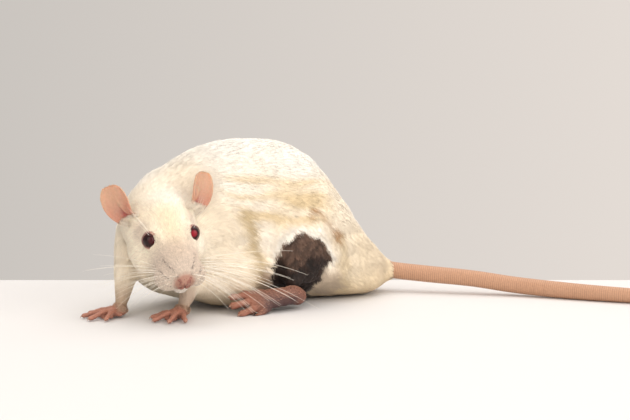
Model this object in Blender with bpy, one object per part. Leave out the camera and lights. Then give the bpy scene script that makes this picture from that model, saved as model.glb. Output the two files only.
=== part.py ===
"""Life-size model of a laboratory rat, standing hunched with its head turned to its left.

The rat faces -X and its left side is -Y. It rests on the plane Z = 0, and every
length is in metres. The flesh is lofted from a few named stations, out to the tips of
its short coat, fused, and parted into head, neck, torso and limbs by thin cuts. Paws,
ears, eyes and tail are made on their own and meet the flesh face to face.
"""

import math

import bmesh
import bpy
from mathutils import Matrix, Vector
from mathutils.bvhtree import BVHTree

GAP = 0.0003
FLOOR = 0.0
UP = Vector((0.0, 0.0, 1.0))

# The head's own frame starts at the nose tip, X forward, Y to the animal's left.
NOSE_TIP = Vector((-0.0847, -0.0123, 0.0221))
HEAD_HEADING = 259.0
HEAD_PITCH = 29.5
HEAD_ROLL = 7.8
NAPE = -0.0460
HEAD_BAR = (0.0212, 0.0196)
HEAD_BAR_RISE = 0.0010
AHEAD_OF_NOSE = 0.020
HEAD_MARGIN = 0.004

EYE_RADIUS = 0.0040
EYE_CENTRE = Vector((-0.0252, 0.0103, 0.0081))
EYE_AXIS = Vector((0.74, 0.52, 0.43)).normalized()
LID_OPENING = 0.0037
LID_RADIUS = 0.0009
LID_STEPS = 28
LID_SIDES = 10

# The spine of an ear from its root to its tip, with the width and the cup's depth there.
EAR = (
    (-0.0405, 0.0115, 0.0084, 0.0070, 0.0024),
    (-0.0408, 0.0153, 0.0098, 0.0078, 0.0026),
    (-0.0415, 0.0184, 0.0120, 0.0100, 0.0034),
    (-0.0430, 0.0206, 0.0148, 0.0126, 0.0036),
    (-0.0453, 0.0220, 0.0177, 0.0138, 0.0031),
    (-0.0480, 0.0230, 0.0207, 0.0130, 0.0023),
    (-0.0501, 0.0235, 0.0229, 0.0102, 0.0014),
    (-0.0512, 0.0237, 0.0241, 0.0060, 0.0009),
)
EAR_ROOT_ROWS = 2
EAR_SUNK_ROWS = 4
EAR_THICKNESS = 0.0010
EAR_FACING = Vector((0.90, 0.38, 0.10))
EAR_COLUMNS = 9

# Stations of the trunk from the tail root to the chest: x, y, top, bottom, half width.
TRUNK = (
    (0.0680, 0.0110, 0.0158, 0.0062, 0.0050),
    (0.0610, 0.0168, 0.0190, 0.0046, 0.0078),
    (0.0550, 0.0200, 0.0245, 0.0020, 0.0130),
    (0.0470, 0.0225, 0.0335, -0.0002, 0.0205),
    (0.0350, 0.0265, 0.0520, -0.0005, 0.0280),
    (0.0190, 0.0315, 0.0740, -0.0002, 0.0325),
    (0.0010, 0.0365, 0.0840, 0.0010, 0.0340),
    (-0.0170, 0.0395, 0.0862, 0.0014, 0.0345),
    (-0.0350, 0.0405, 0.0850, 0.0014, 0.0335),
    (-0.0510, 0.0412, 0.0805, 0.0022, 0.0288),
    (-0.0640, 0.0390, 0.0722, 0.0055, 0.0235),
    (-0.0740, 0.0358, 0.0595, 0.0105, 0.0182),
    (-0.0805, 0.0335, 0.0470, 0.0180, 0.0110),
)
BELLY = ((-0.0360, 0.0250, 0.0180), (0.0320, 0.0220, 0.0184))
WAIST_HEIGHT = 0.40
BACK_FULLNESS = 2.15
BELLY_FULLNESS = 3.0

# Stations of the neck from the withers to the nape: x, y, z, half width, half height.
NECK = (
    (-0.0500, 0.0420, 0.0500, 0.0240, 0.0270),
    (-0.0610, 0.0420, 0.0500, 0.0222, 0.0242),
    (-0.0690, 0.0392, 0.0488, 0.0196, 0.0206),
    (-0.0750, 0.0325, 0.0464, 0.0184, 0.0182),
    (-0.0775, 0.0250, 0.0430, 0.0180, 0.0165),
)

# Stations of the head in its own frame: x, half width, above, below.
HEAD = (
    (0.0004, 0.0020, 0.0014, 0.0030),
    (-0.0015, 0.0044, 0.0034, 0.0062),
    (-0.0050, 0.0076, 0.0058, 0.0096),
    (-0.0100, 0.0098, 0.0084, 0.0114),
    (-0.0160, 0.0114, 0.0111, 0.0124),
    (-0.0220, 0.0130, 0.0134, 0.0132),
    (-0.0280, 0.0150, 0.0154, 0.0142),
    (-0.0340, 0.0166, 0.0170, 0.0152),
    (-0.0400, 0.0182, 0.0177, 0.0163),
    (-0.0460, 0.0190, 0.0177, 0.0170),
    (-0.0540, 0.0190, 0.0168, 0.0170),
)

# Soft forms on the head, in its frame: centre and radii. Those off the midline are mirrored.
HEAD_FORMS = (
    ((-0.0092, 0.0068, -0.0036), (0.0078, 0.0062, 0.0064)),
    ((-0.0330, 0.0104, -0.0050), (0.0130, 0.0094, 0.0100)),
    ((-0.0262, 0.0080, 0.0078), (0.0080, 0.0048, 0.0062)),
    ((-0.0125, 0.0, -0.0104), (0.0088, 0.0048, 0.0036)),
)
NOSE_PAD = ((-0.0012, 0.0, -0.0010), (0.0022, 0.0037, 0.0032))
NOSTRIL = ((-0.0002, 0.0021, -0.0004), (0.0013, 0.0007, 0.0008))
MOUTH_CORNER = Vector((-0.0140, 0.0, -0.0092))
MOUTH_FRONT = Vector((-0.0028, 0.0, -0.0072))
GROOVE_RADIUS = 0.00052
MOUTH_STEPS = 9
CLEFT_TOP = -0.0038
CLEFT_BOTTOM = -0.0073
CLEFT_STEPS = 6
CLEAR_OF_HEAD = 0.03

# Limb forms. A ball is a centre and radii, and a tube's rows are x, y, z, half width, half depth.
HIND_BALLS = {
    "left": (
        ((0.0060, 0.0130, 0.0330), (0.0250, 0.0140, 0.0220)),
        ((-0.0060, 0.0048, 0.0270), (0.0150, 0.0088, 0.0158)),
    ),
    "right": (
        ((0.0080, 0.0580, 0.0330), (0.0250, 0.0140, 0.0220)),
        ((-0.0040, 0.0670, 0.0270), (0.0150, 0.0086, 0.0158)),
    ),
}
LIMBS = {
    "left_shank": (
        (-0.0120, 0.0065, 0.0250, 0.0062, 0.0080),
        (-0.0126, 0.0038, 0.0165, 0.0062, 0.0074),
        (-0.0126, 0.0024, 0.0110, 0.0050, 0.0060),
        (-0.0128, 0.0020, 0.0040, 0.0044, 0.0054),
    ),
    "right_shank": (
        (-0.0090, 0.0672, 0.0250, 0.0062, 0.0080),
        (-0.0040, 0.0694, 0.0160, 0.0058, 0.0070),
        (-0.0005, 0.0698, 0.0100, 0.0046, 0.0052),
        (0.0000, 0.0700, 0.0040, 0.0042, 0.0044),
    ),
    "left_arm": (
        (-0.0520, 0.0230, 0.0400, 0.0110, 0.0130),
        (-0.0590, 0.0210, 0.0270, 0.0085, 0.0105),
        (-0.0650, 0.0165, 0.0165, 0.0060, 0.0068),
        (-0.0710, 0.0115, 0.0080, 0.0038, 0.0040),
        (-0.0735, 0.0095, 0.0040, 0.0033, 0.0034),
    ),
    "right_arm": (
        (-0.0740, 0.0540, 0.0420, 0.0115, 0.0130),
        (-0.0820, 0.0490, 0.0280, 0.0085, 0.0105),
        (-0.0890, 0.0410, 0.0170, 0.0060, 0.0066),
        (-0.0950, 0.0330, 0.0082, 0.0038, 0.0042),
        (-0.0975, 0.0305, 0.0040, 0.0033, 0.0034),
    ),
}

# Each paw: its wrist or ankle point, heading, roll, and the height of the wrist's seam.
LEFT_HAND = (Vector((-0.0740, 0.0098, FLOOR)), 208.0, 0.0)
RIGHT_HAND = (Vector((-0.0975, 0.0305, FLOOR)), 174.0, 0.0)
LEFT_FOOT = (Vector((-0.0144, 0.0012, 0.0031)), 180.0, -42.0)
RIGHT_FOOT = (Vector((-0.0010, 0.0700, FLOOR)), 172.0, 0.0)
WRIST_SEAM = 0.0058
ANKLE_SEAM = 0.0085

# Digits of a left paw: root x and y, heading, reach and radius. The first is the innermost.
HAND_DIGITS = (
    (0.0048, -0.0032, -46.0, 0.0096, 0.00118),
    (0.0062, -0.0014, -17.0, 0.0120, 0.00128),
    (0.0062, 0.0012, 12.0, 0.0118, 0.00128),
    (0.0048, 0.0031, 40.0, 0.0100, 0.00118),
)
HAND_PALM = (
    ((0.0002, 0.0, 0.0036), (0.0042, 0.0036, 0.0034)),
    ((0.0042, 0.0, 0.0028), (0.0050, 0.0046, 0.0027)),
    ((0.0018, -0.0036, 0.0018), (0.0018, 0.0013, 0.0012)),
)
FOOT_DIGITS = (
    (0.0190, -0.0046, -24.0, 0.0076, 0.00160),
    (0.0232, -0.0042, -11.0, 0.0104, 0.00180),
    (0.0246, -0.0006, -1.0, 0.0110, 0.00185),
    (0.0232, 0.0032, 10.0, 0.0104, 0.00180),
    (0.0190, 0.0050, 24.0, 0.0082, 0.00160),
)
FOOT_PALM = (
    ((-0.0012, 0.0, 0.0042), (0.0052, 0.0044, 0.0044)),
    ((0.0030, 0.0, 0.0058), (0.0072, 0.0046, 0.0052)),
    ((0.0120, -0.0004, 0.0044), (0.0092, 0.0050, 0.0046)),
    ((0.0200, -0.0006, 0.0036), (0.0080, 0.0066, 0.0038)),
)
CLAW_LENGTH = {"hand": 0.0018, "foot": 0.0024}
CLAW_HEIGHT = 0.0014
CLAW_TIP = 0.00012
DIGIT_ROOT_HEIGHT = 0.0026
DIGIT_TIP_HEIGHT = 0.0011

# How finely each surface is fused and smoothed, and how many triangles it keeps.
FLESH_VOXEL, FLESH_SMOOTHING, FLESH_TRIANGLES = 0.0009, 14, 3600
HEAD_VOXEL, HEAD_SMOOTHING, HEAD_TRIANGLES = 0.0005, 2, 3200
PAW_VOXEL, PAW_SMOOTHING = 0.00045, 4
PAW_TRIANGLES = {"hand": 560, "foot": 640}

# Where the flesh is parted. The neck begins at a plane: its point, heading and pitch.
NECK_PLANE = (Vector((-0.0670, 0.0400, 0.0500)), 218.0, 14.0)
NECK_BAR = (0.0300, 0.0250)
NECK_REACH = 0.060
BAR_SIDES = 36
SEAM_REACH = 0.0085
SEAM_DEPTH = 0.010
HIP_BARS = {
    "left": ((-0.0010, -0.0150, 0.0275), (-0.0010, 0.0110, 0.0275), 0.0250, 0.0215),
    "right": ((0.0010, 0.0600, 0.0275), (0.0010, 0.0860, 0.0275), 0.0250, 0.0215),
}
ARM_BARS = {
    "left": ((-0.0780, 0.0060, -0.0060), (-0.0610, 0.0200, 0.0240), 0.0125, 0.0120),
    "right": ((-0.1000, 0.0270, -0.0040), (-0.0840, 0.0470, 0.0260), 0.0125, 0.0125),
}

# The tail from under the rump to its tip: x, y, z, radius.
TAIL = (
    (0.0560, 0.0200, 0.0128, 0.0046),
    (0.0640, 0.0140, 0.0112, 0.0046),
    (0.0760, 0.0010, 0.0098, 0.0046),
    (0.0920, -0.0170, 0.0082, 0.0045),
    (0.1070, -0.0350, 0.0056, 0.0045),
    (0.1210, -0.0570, 0.0043, 0.0044),
    (0.1360, -0.0820, 0.0039, 0.0040),
    (0.1550, -0.1080, 0.0035, 0.0036),
    (0.1780, -0.1290, 0.0027, 0.0028),
    (0.2040, -0.1420, 0.0014, 0.0015),
)
TAIL_STEPS = 44
TAIL_CUTS = (5, 14, 24, 34, 44)
TAIL_SIDES = 12

COAT = (0.86, 0.80, 0.68, 1.0)
BARE_SKIN = (0.80, 0.52, 0.44, 1.0)
EAR_SKIN = (0.86, 0.60, 0.50, 1.0)
EYE_RED = (0.20, 0.01, 0.02, 1.0)
TAIL_SKIN = (0.72, 0.48, 0.38, 1.0)


def clear_scene():
    for obj in list(bpy.data.objects):
        bpy.data.objects.remove(obj)


def make_material(name, colour, roughness):
    material = bpy.data.materials.new(name)
    material.use_nodes = True
    shader = material.node_tree.nodes["Principled BSDF"]
    shader.inputs["Base Color"].default_value = colour
    shader.inputs["Roughness"].default_value = roughness
    return material


def frame_at(origin, heading, pitch=0.0, roll=0.0):
    """A frame whose X points along heading and down by pitch, and whose Y is the animal's left."""
    turn, dip, lean = (math.radians(angle) for angle in (heading, pitch, roll))
    forward = Vector((math.cos(turn) * math.cos(dip), math.sin(turn) * math.cos(dip), -math.sin(dip)))
    level_left = Vector((-math.sin(turn), math.cos(turn), 0.0))
    level_up = forward.cross(level_left)
    left = level_left * math.cos(lean) + level_up * math.sin(lean)
    up = level_up * math.cos(lean) - level_left * math.sin(lean)
    frame = Matrix((forward, left, up)).transposed().to_4x4()
    frame.translation = origin
    return frame


HEAD_FRAME = frame_at(NOSE_TIP, HEAD_HEADING, HEAD_PITCH, HEAD_ROLL)
WORLD = Matrix.Identity(4)


def mirrored(point, side):
    return Vector((point[0], point[1] * side, point[2]))


def between(a, b, c, d, t):
    """The value a part t of the way from b to c, on a smooth curve through a, b, c and d."""
    bend = (2 * a - 5 * b + 4 * c - d) * t**2
    twist = (3 * b - a - 3 * c + d) * t**3
    return 0.5 * (2 * b + (c - a) * t + bend + twist)


def blended(rows, count):
    """Rows read at even steps from a smooth curve through the given rows."""
    last = len(rows) - 1
    result = []
    for step in range(count):
        place = step / (count - 1) * last
        index = min(int(place), last - 1)
        t = place - index
        before = rows[max(index - 1, 0)]
        after = rows[min(index + 2, last)]
        here, there = rows[index], rows[index + 1]
        result.append(tuple(between(a, b, c, d, t) for a, b, c, d in zip(before, here, there, after)))
    return result


def oval(centre, across, upward, half_width, above, below, sides, fullness=(2.0, 2.0)):
    """A closed ring of points; a fullness over 2 squares the shoulders of its upper or lower half."""
    points = []
    for index in range(sides):
        angle = 2 * math.pi * index / sides
        c, s = math.cos(angle), math.sin(angle)
        power = 2.0 / (fullness[0] if s > 0 else fullness[1])
        out = math.copysign(abs(c) ** power, c) * half_width
        rise = math.copysign(abs(s) ** power, s) * (above if s > 0 else below)
        points.append(centre + across * out + upward * rise)
    return points


def as_object(name, body):
    bmesh.ops.recalc_face_normals(body, faces=body.faces)
    mesh = bpy.data.meshes.new(name)
    body.to_mesh(mesh)
    body.free()
    obj = bpy.data.objects.new(name, mesh)
    bpy.context.scene.collection.objects.link(obj)
    return obj


def loft(name, rings):
    """A closed mesh object through rings of equal count, with flat ends."""
    body = bmesh.new()
    loops = [[body.verts.new(point) for point in ring] for ring in rings]
    for near, far in zip(loops, loops[1:]):
        for index in range(len(near)):
            following = (index + 1) % len(near)
            body.faces.new((near[index], near[following], far[following], far[index]))
    body.faces.new(reversed(loops[0]))
    body.faces.new(loops[-1])
    return as_object(name, body)


def travel_along(points):
    """The unit direction of travel at each point of a path."""
    last = len(points) - 1
    return [(points[min(i + 1, last)] - points[max(i - 1, 0)]).normalized() for i in range(last + 1)]


def tube(name, rows, count, sides, frame=WORLD):
    """A tapering tube through rows of x, y, z, half width and, where it isn't round, half depth."""
    rows = blended([row if len(row) == 5 else (*row, row[3]) for row in rows], count)
    centres = [frame @ Vector(row[:3]) for row in rows]
    rings = []
    for centre, travel, row in zip(centres, travel_along(centres), rows):
        across = travel.cross(UP).normalized()
        depth = across.cross(travel)
        rings.append(oval(centre, across, depth, row[3], row[4], row[4], sides))
    return loft(name, rings)


def ball(name, centre, radii, frame=WORLD, segments=24, rings=14):
    body = bmesh.new()
    bmesh.ops.create_uvsphere(body, u_segments=segments, v_segments=rings, radius=1.0)
    bmesh.ops.scale(body, vec=radii, verts=body.verts)
    bmesh.ops.translate(body, vec=centre, verts=body.verts)
    bmesh.ops.transform(body, matrix=frame, verts=body.verts)
    return as_object(name, body)


def block(name, low, high):
    """A box between two corners."""
    body = bmesh.new()
    bmesh.ops.create_cube(body, size=1.0)
    bmesh.ops.scale(body, vec=high - low, verts=body.verts)
    bmesh.ops.translate(body, vec=(low + high) / 2, verts=body.verts)
    return as_object(name, body)


def bar(name, start, end, half_width, half_height):
    """An oval bar between two points, upright in section."""
    along = (end - start).normalized()
    across = along.cross(UP).normalized()
    upward = across.cross(along)
    size = (half_width, half_height, half_height, BAR_SIDES)
    return loft(name, [oval(point, across, upward, *size) for point in (start, end)])


def applied(obj):
    """The object with its modifiers made into mesh."""
    graph = bpy.context.evaluated_depsgraph_get()
    mesh = bpy.data.meshes.new_from_object(obj.evaluated_get(graph))
    obj.modifiers.clear()
    obj.data = mesh
    return obj


def removed(pieces):
    for piece in pieces:
        bpy.data.objects.remove(piece)


def copied(obj, name):
    twin = bpy.data.objects.new(name, obj.data.copy())
    bpy.context.scene.collection.objects.link(twin)
    return twin


def fused(name, pieces, voxel, smoothing):
    """One closed surface round the pieces, with its creases softened."""
    whole = bmesh.new()
    for piece in pieces:
        whole.from_mesh(piece.data)
    removed(pieces)
    obj = as_object(name, whole)
    remesh = obj.modifiers.new("fuse", "REMESH")
    remesh.mode = "VOXEL"
    remesh.voxel_size = voxel
    soften = obj.modifiers.new("soften", "SMOOTH")
    soften.factor = 0.5
    soften.iterations = smoothing
    return applied(obj)


def thinned(obj, triangles):
    """The object with about this many triangles, more where it curves more."""
    faces = sum(len(face.vertices) - 2 for face in obj.data.polygons)
    thin = obj.modifiers.new("thin", "DECIMATE")
    thin.ratio = min(1.0, triangles / faces)
    return applied(obj)


def largest(obj):
    """Keeps only the object's largest closed surface."""
    body = bmesh.new()
    body.from_mesh(obj.data)
    waiting = set(body.verts)
    islands = []
    while waiting:
        front = [waiting.pop()]
        island = set(front)
        while front:
            for edge in front.pop().link_edges:
                for vert in edge.verts:
                    if vert in waiting:
                        waiting.discard(vert)
                        island.add(vert)
                        front.append(vert)
        islands.append(island)
    islands.sort(key=len)
    scraps = [vert for island in islands[:-1] for vert in island]
    bmesh.ops.delete(body, geom=scraps, context="VERTS")
    body.to_mesh(obj.data)
    body.free()
    return obj


def boolean(obj, operation, tools):
    """The object after one Boolean with all the tools, which are then removed."""
    group = bpy.data.collections.new("tools")
    bpy.context.scene.collection.children.link(group)
    for tool in tools:
        bpy.context.scene.collection.objects.unlink(tool)
        group.objects.link(tool)
    step = obj.modifiers.new("boolean", "BOOLEAN")
    step.operation = operation
    step.solver = "EXACT"
    step.operand_type = "COLLECTION"
    step.collection = group
    applied(obj)
    removed(tools)
    bpy.data.collections.remove(group)
    return largest(obj)


def parted(whole, name, make_cutter):
    """Parts the whole along a cutter: the inner piece, and the whole left a thin gap outside it."""
    inner = boolean(copied(whole, name), "INTERSECT", [make_cutter(0.0)])
    boolean(whole, "DIFFERENCE", [make_cutter(GAP)])
    return inner


def kept_side(obj, point, outward):
    """Cuts the object by a plane, drops what lies on the outward side, and closes the face."""
    body = bmesh.new()
    body.from_mesh(obj.data)
    geometry = list(body.verts) + list(body.edges) + list(body.faces)
    bmesh.ops.bisect_plane(body, geom=geometry, plane_co=point, plane_no=outward, clear_outer=True)
    rim = [edge for edge in body.edges if edge.is_boundary]
    bmesh.ops.triangle_fill(body, use_beauty=True, use_dissolve=False, edges=rim, normal=outward)
    bmesh.ops.recalc_face_normals(body, faces=body.faces)
    body.to_mesh(obj.data)
    body.free()
    return obj


def trunk():
    """The barrel of the body, hunched, with its rump tapering to the tail."""
    rows = blended(TRUNK, 44)
    centres = [Vector((row[0], row[1], 0.0)) for row in rows]
    rings = []
    for centre, travel, row in zip(centres, travel_along(centres), rows):
        top, bottom, half_width = row[2:]
        waist = bottom + WAIST_HEIGHT * (top - bottom)
        across = travel.cross(UP).normalized()
        middle = centre + UP * waist
        fullness = (BACK_FULLNESS, BELLY_FULLNESS)
        rings.append(oval(middle, across, UP, half_width, top - waist, waist - bottom, 40, fullness))
    return loft("trunk", rings)


def skull():
    """The wedge of the head from nose to nape, with its lips, cheeks, brows and chin."""
    across = HEAD_FRAME.to_3x3() @ Vector((0.0, 1.0, 0.0))
    upward = HEAD_FRAME.to_3x3() @ UP
    rings = []
    for x, half_width, above, below in blended(HEAD, 36):
        middle = HEAD_FRAME @ Vector((x, 0.0, 0.0))
        rings.append(oval(middle, across, upward, half_width, above, below, 32, (2.15, 2.2)))
    pieces = [loft("skull", rings)]
    for centre, radii in HEAD_FORMS:
        for side in (1, -1) if centre[1] else (1,):
            pieces.append(ball("form", mirrored(centre, side), radii, HEAD_FRAME))
    return pieces


def flesh():
    """The whole body but its paws, ears, eyes and tail, as one smooth surface."""
    pieces = [trunk(), ball("belly", *BELLY), tube("nape", NECK, 16, 28)] + skull()
    pieces += [tube(name, rows, 16, 24) for name, rows in LIMBS.items()]
    for balls in HIND_BALLS.values():
        pieces += [ball("haunch", centre, radii) for centre, radii in balls]
    return fused("torso", pieces, FLESH_VOXEL, FLESH_SMOOTHING)


def head_cutter(grown):
    """The region of the head: an oval bar round it that starts at the nape."""
    start = HEAD_FRAME @ Vector((NAPE - grown, 0.0, HEAD_BAR_RISE))
    end = HEAD_FRAME @ Vector((AHEAD_OF_NOSE, 0.0, HEAD_BAR_RISE))
    return bar("head_cutter", start, end, HEAD_BAR[0] + grown, HEAD_BAR[1] + grown)


def eye_frame(side):
    """A frame at the eyeball's centre whose Z looks out along the eye's axis."""
    outward = mirrored(EYE_AXIS, side)
    across = outward.cross(UP).normalized()
    frame = Matrix((across, outward.cross(across), outward)).transposed().to_4x4()
    frame.translation = mirrored(EYE_CENTRE, side)
    return HEAD_FRAME @ frame


def lid(side):
    """The rim of both lids, a thin ring seated on the eyeball."""
    seat = math.sqrt(EYE_RADIUS**2 - LID_OPENING**2)
    frame = eye_frame(side)
    body = bmesh.new()
    loops = []
    for step in range(LID_STEPS):
        angle = 2 * math.pi * step / LID_STEPS
        outward = Vector((math.cos(angle), math.sin(angle), 0.0))
        centre = outward * LID_OPENING + UP * seat
        ring = oval(centre, outward, UP, LID_RADIUS, LID_RADIUS, LID_RADIUS, LID_SIDES)
        loops.append([body.verts.new(frame @ point) for point in ring])
    for near, far in zip(loops, loops[1:] + loops[:1]):
        for index in range(LID_SIDES):
            following = (index + 1) % LID_SIDES
            body.faces.new((near[index], near[following], far[following], far[index]))
    return as_object("lid", body)


def groove(points):
    """A cutter for a thin line in the surface along these points."""
    rows = [(*point, GROOVE_RADIUS) for point in points]
    return tube("groove", rows, len(rows), 6)


def mouth_grooves(head):
    """The line of the mouth round the muzzle, and the cleft from it up to the nose."""
    body = bmesh.new()
    body.from_mesh(head.data)
    surface = BVHTree.FromBMesh(body)
    body.free()
    axes = HEAD_FRAME.to_3x3()

    def on_surface(start, direction):
        hit = surface.ray_cast(HEAD_FRAME @ start, axes @ direction)[0]
        return hit if hit else HEAD_FRAME @ start

    grooves = []
    for side in (1, -1):
        line = []
        for step in range(MOUTH_STEPS):
            t = step / (MOUTH_STEPS - 1)
            place = MOUTH_FRONT.lerp(MOUTH_CORNER, t)
            aim = mirrored(Vector((0.35 * (1 - t), 1.0, -0.25)).normalized(), side)
            line.append(on_surface(place + aim * CLEAR_OF_HEAD, -aim))
        grooves.append(groove(line))
    cleft = []
    for step in range(CLEFT_STEPS):
        height = CLEFT_TOP + (CLEFT_BOTTOM - CLEFT_TOP) * step / (CLEFT_STEPS - 1)
        cleft.append(on_surface(Vector((CLEAR_OF_HEAD, 0.0, height)), Vector((-1.0, 0.0, 0.0))))
    grooves.append(groove(cleft))
    return grooves


def ear_rings(side, rows, solid_rows, grown=0.0):
    """Cup-shaped sections up the ear, which opens forward and out. The first rows are solid."""
    centres = [mirrored(row[:3], side) for row in rows]
    rings = []
    for index, (centre, travel, row) in enumerate(zip(centres, travel_along(centres), rows)):
        facing = mirrored(EAR_FACING, side)
        facing = (facing - travel * facing.dot(travel)).normalized()
        across = travel.cross(facing).normalized()
        half, depth = row[3] / 2 + grown, row[4] + grown
        back, front = [], []
        for step in range(EAR_COLUMNS):
            v = 2 * step / (EAR_COLUMNS - 1) - 1
            bow = 1 - abs(v) ** 2.2
            wall = EAR_THICKNESS * (0.66 + 0.54 * bow)
            ahead = depth * bow * 0.6 if index < solid_rows else wall - depth * bow
            back.append(centre + across * half * v - facing * depth * bow)
            front.append(centre + across * half * v * 0.96 + facing * ahead)
        rings.append([HEAD_FRAME @ point for point in back + front[::-1]])
    return rings


def ear(side, name):
    return loft(name, ear_rings(side, EAR, EAR_ROOT_ROWS))


def ear_socket(side):
    """The lower part of an ear, filled and a gap larger all round, as a cutter."""
    rows = list(EAR[:EAR_SUNK_ROWS])
    first, second = Vector(rows[0][:3]), Vector(rows[1][:3])
    rows[0] = (*(first - (second - first).normalized() * GAP), *rows[0][3:])
    return loft("ear_socket", ear_rings(side, rows, len(rows), GAP))


def claw(base, along, length, radius, frame):
    """A blunt cone that bends a little down to the floor."""
    rows = (
        (*(base - along * 0.0010), radius * 0.62),
        (*(base + along * length * 0.55 - UP * 0.0001), radius * 0.42),
        (*(base + along * length - UP * 0.0007), CLAW_TIP),
    )
    return tube("claw", rows, 4, 5, frame)


def digit(root, along, reach, radius, frame):
    """One arched toe or finger from inside the palm to its tip."""
    knuckle = root + along * reach * 0.3
    middle = root + along * reach * 0.68
    tip = root + along * reach
    behind = root - along * 0.0020
    rows = (
        (behind.x, behind.y, DIGIT_ROOT_HEIGHT, radius * 1.15),
        (knuckle.x, knuckle.y, DIGIT_ROOT_HEIGHT + 0.0004, radius * 1.08),
        (middle.x, middle.y, 0.0022, radius * 0.92),
        (tip.x, tip.y, DIGIT_TIP_HEIGHT, radius * 0.85),
    )
    return tube("digit", rows, 10, 12, frame)


def paw(name, place, side, palm, digits, claw_length, triangles):
    """A bare paw: palm, arched digits with their pads, and a claw on each."""
    frame = frame_at(place[0], place[1], 0.0, place[2])
    pieces = [ball("palm", mirrored(centre, side), radii, frame) for centre, radii in palm]
    claws = []
    for x, y, heading, reach, radius in digits:
        turn = math.radians(heading * side)
        root = Vector((x, y * side, 0.0))
        along = Vector((math.cos(turn), math.sin(turn), 0.0))
        tip = root + along * reach
        pieces.append(digit(root, along, reach, radius, frame))
        pad = tip - along * 0.0006 + UP * 0.0011
        pieces.append(ball("pad", pad, (radius * 1.10, radius * 1.08, radius * 0.98), frame, 12, 8))
        claws.append(claw(tip + UP * CLAW_HEIGHT, along, claw_length, radius, frame))
    obj = thinned(fused(name, pieces, PAW_VOXEL, PAW_SMOOTHING), triangles)
    return boolean(obj, "UNION", claws)


def set_on_floor(obj):
    """Trims the object to the floor, which leaves it a small flat to rest on."""
    if min((obj.matrix_world @ vert.co).z for vert in obj.data.vertices) < FLOOR:
        kept_side(obj, Vector((0.0, 0.0, FLOOR)), -UP)
    return obj


def tail_path():
    """The tail's centres, directions and radii at even steps."""
    rows = blended(TAIL, TAIL_STEPS + 1)
    centres = [Vector(row[:3]) for row in rows]
    return centres, travel_along(centres), [row[3] for row in rows]


def tail_seam():
    """The point and direction of the plane where the rump ends and the tail begins."""
    centres, travels, _ = tail_path()
    return centres[TAIL_CUTS[0]], travels[TAIL_CUTS[0]]


def tail():
    """The tail in a few lengths that meet face to face."""
    centres, travels, radii = tail_path()
    lengths = []
    for number, (first, last) in enumerate(zip(TAIL_CUTS, TAIL_CUTS[1:]), 1):
        rings = []
        for step in range(first, last + 1):
            start = centres[step] + travels[step] * (GAP if step == first else 0.0)
            across = travels[step].cross(UP).normalized()
            upward = across.cross(travels[step])
            rings.append(oval(start, across, upward, radii[step], radii[step], radii[step], TAIL_SIDES))
        lengths.append(set_on_floor(loft("tail_%d" % number, rings)))
    return lengths


def bar_cutter(name, start, end, half_width, half_height):
    """A function that makes an oval bar between two points, larger by what it is given."""
    start, end = Vector(start), Vector(end)

    def make(grown):
        stretch = (end - start).normalized() * grown
        return bar(name, start - stretch, end + stretch, half_width + grown, half_height + grown)

    return make


def neck_cutter(grown):
    """The region of the neck: an oval bar from the withers out past the nape."""
    frame = frame_at(*NECK_PLANE)
    start, end = (frame @ Vector((x, 0.0, 0.0)) for x in (-grown, NECK_REACH))
    return bar("neck_cutter", start, end, NECK_BAR[0] + grown, NECK_BAR[1] + grown)


def below_seam(place, seam):
    """A cutter for all of a limb under the seam where its paw begins."""
    low = place[0] - Vector((SEAM_REACH, SEAM_REACH, SEAM_DEPTH))
    high = place[0] + Vector((SEAM_REACH, SEAM_REACH, seam))
    return block("seam_cutter", low, high)


def add_paws(bare):
    """The four paws, each with a flat top that faces the end of its leg."""
    paws = (
        ("forepaw_left", LEFT_HAND, 1, HAND_PALM, HAND_DIGITS, "hand", WRIST_SEAM),
        ("forepaw_right", RIGHT_HAND, -1, HAND_PALM, HAND_DIGITS, "hand", WRIST_SEAM),
        ("hindfoot_left", LEFT_FOOT, 1, FOOT_PALM, FOOT_DIGITS, "foot", ANKLE_SEAM),
        ("hindfoot_right", RIGHT_FOOT, -1, FOOT_PALM, FOOT_DIGITS, "foot", ANKLE_SEAM),
    )
    for name, place, side, palm, digits, kind, seam in paws:
        obj = paw(name, place, side, palm, digits, CLAW_LENGTH[kind], PAW_TRIANGLES[kind])
        kept_side(obj, Vector((0.0, 0.0, seam - GAP)), UP)
        set_on_floor(obj)
        obj.data.materials.append(bare)


def centred_on_floor():
    """Places every piece so that the middle of the model's box, at floor level, is the origin."""
    corners = [vert.co for obj in bpy.data.objects for vert in obj.data.vertices]
    middle = [(min(c[axis] for c in corners) + max(c[axis] for c in corners)) / 2 for axis in (0, 1)]
    for obj in bpy.data.objects:
        obj.location = Vector((-middle[0], -middle[1], -FLOOR))
        obj.data.shade_smooth()


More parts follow.
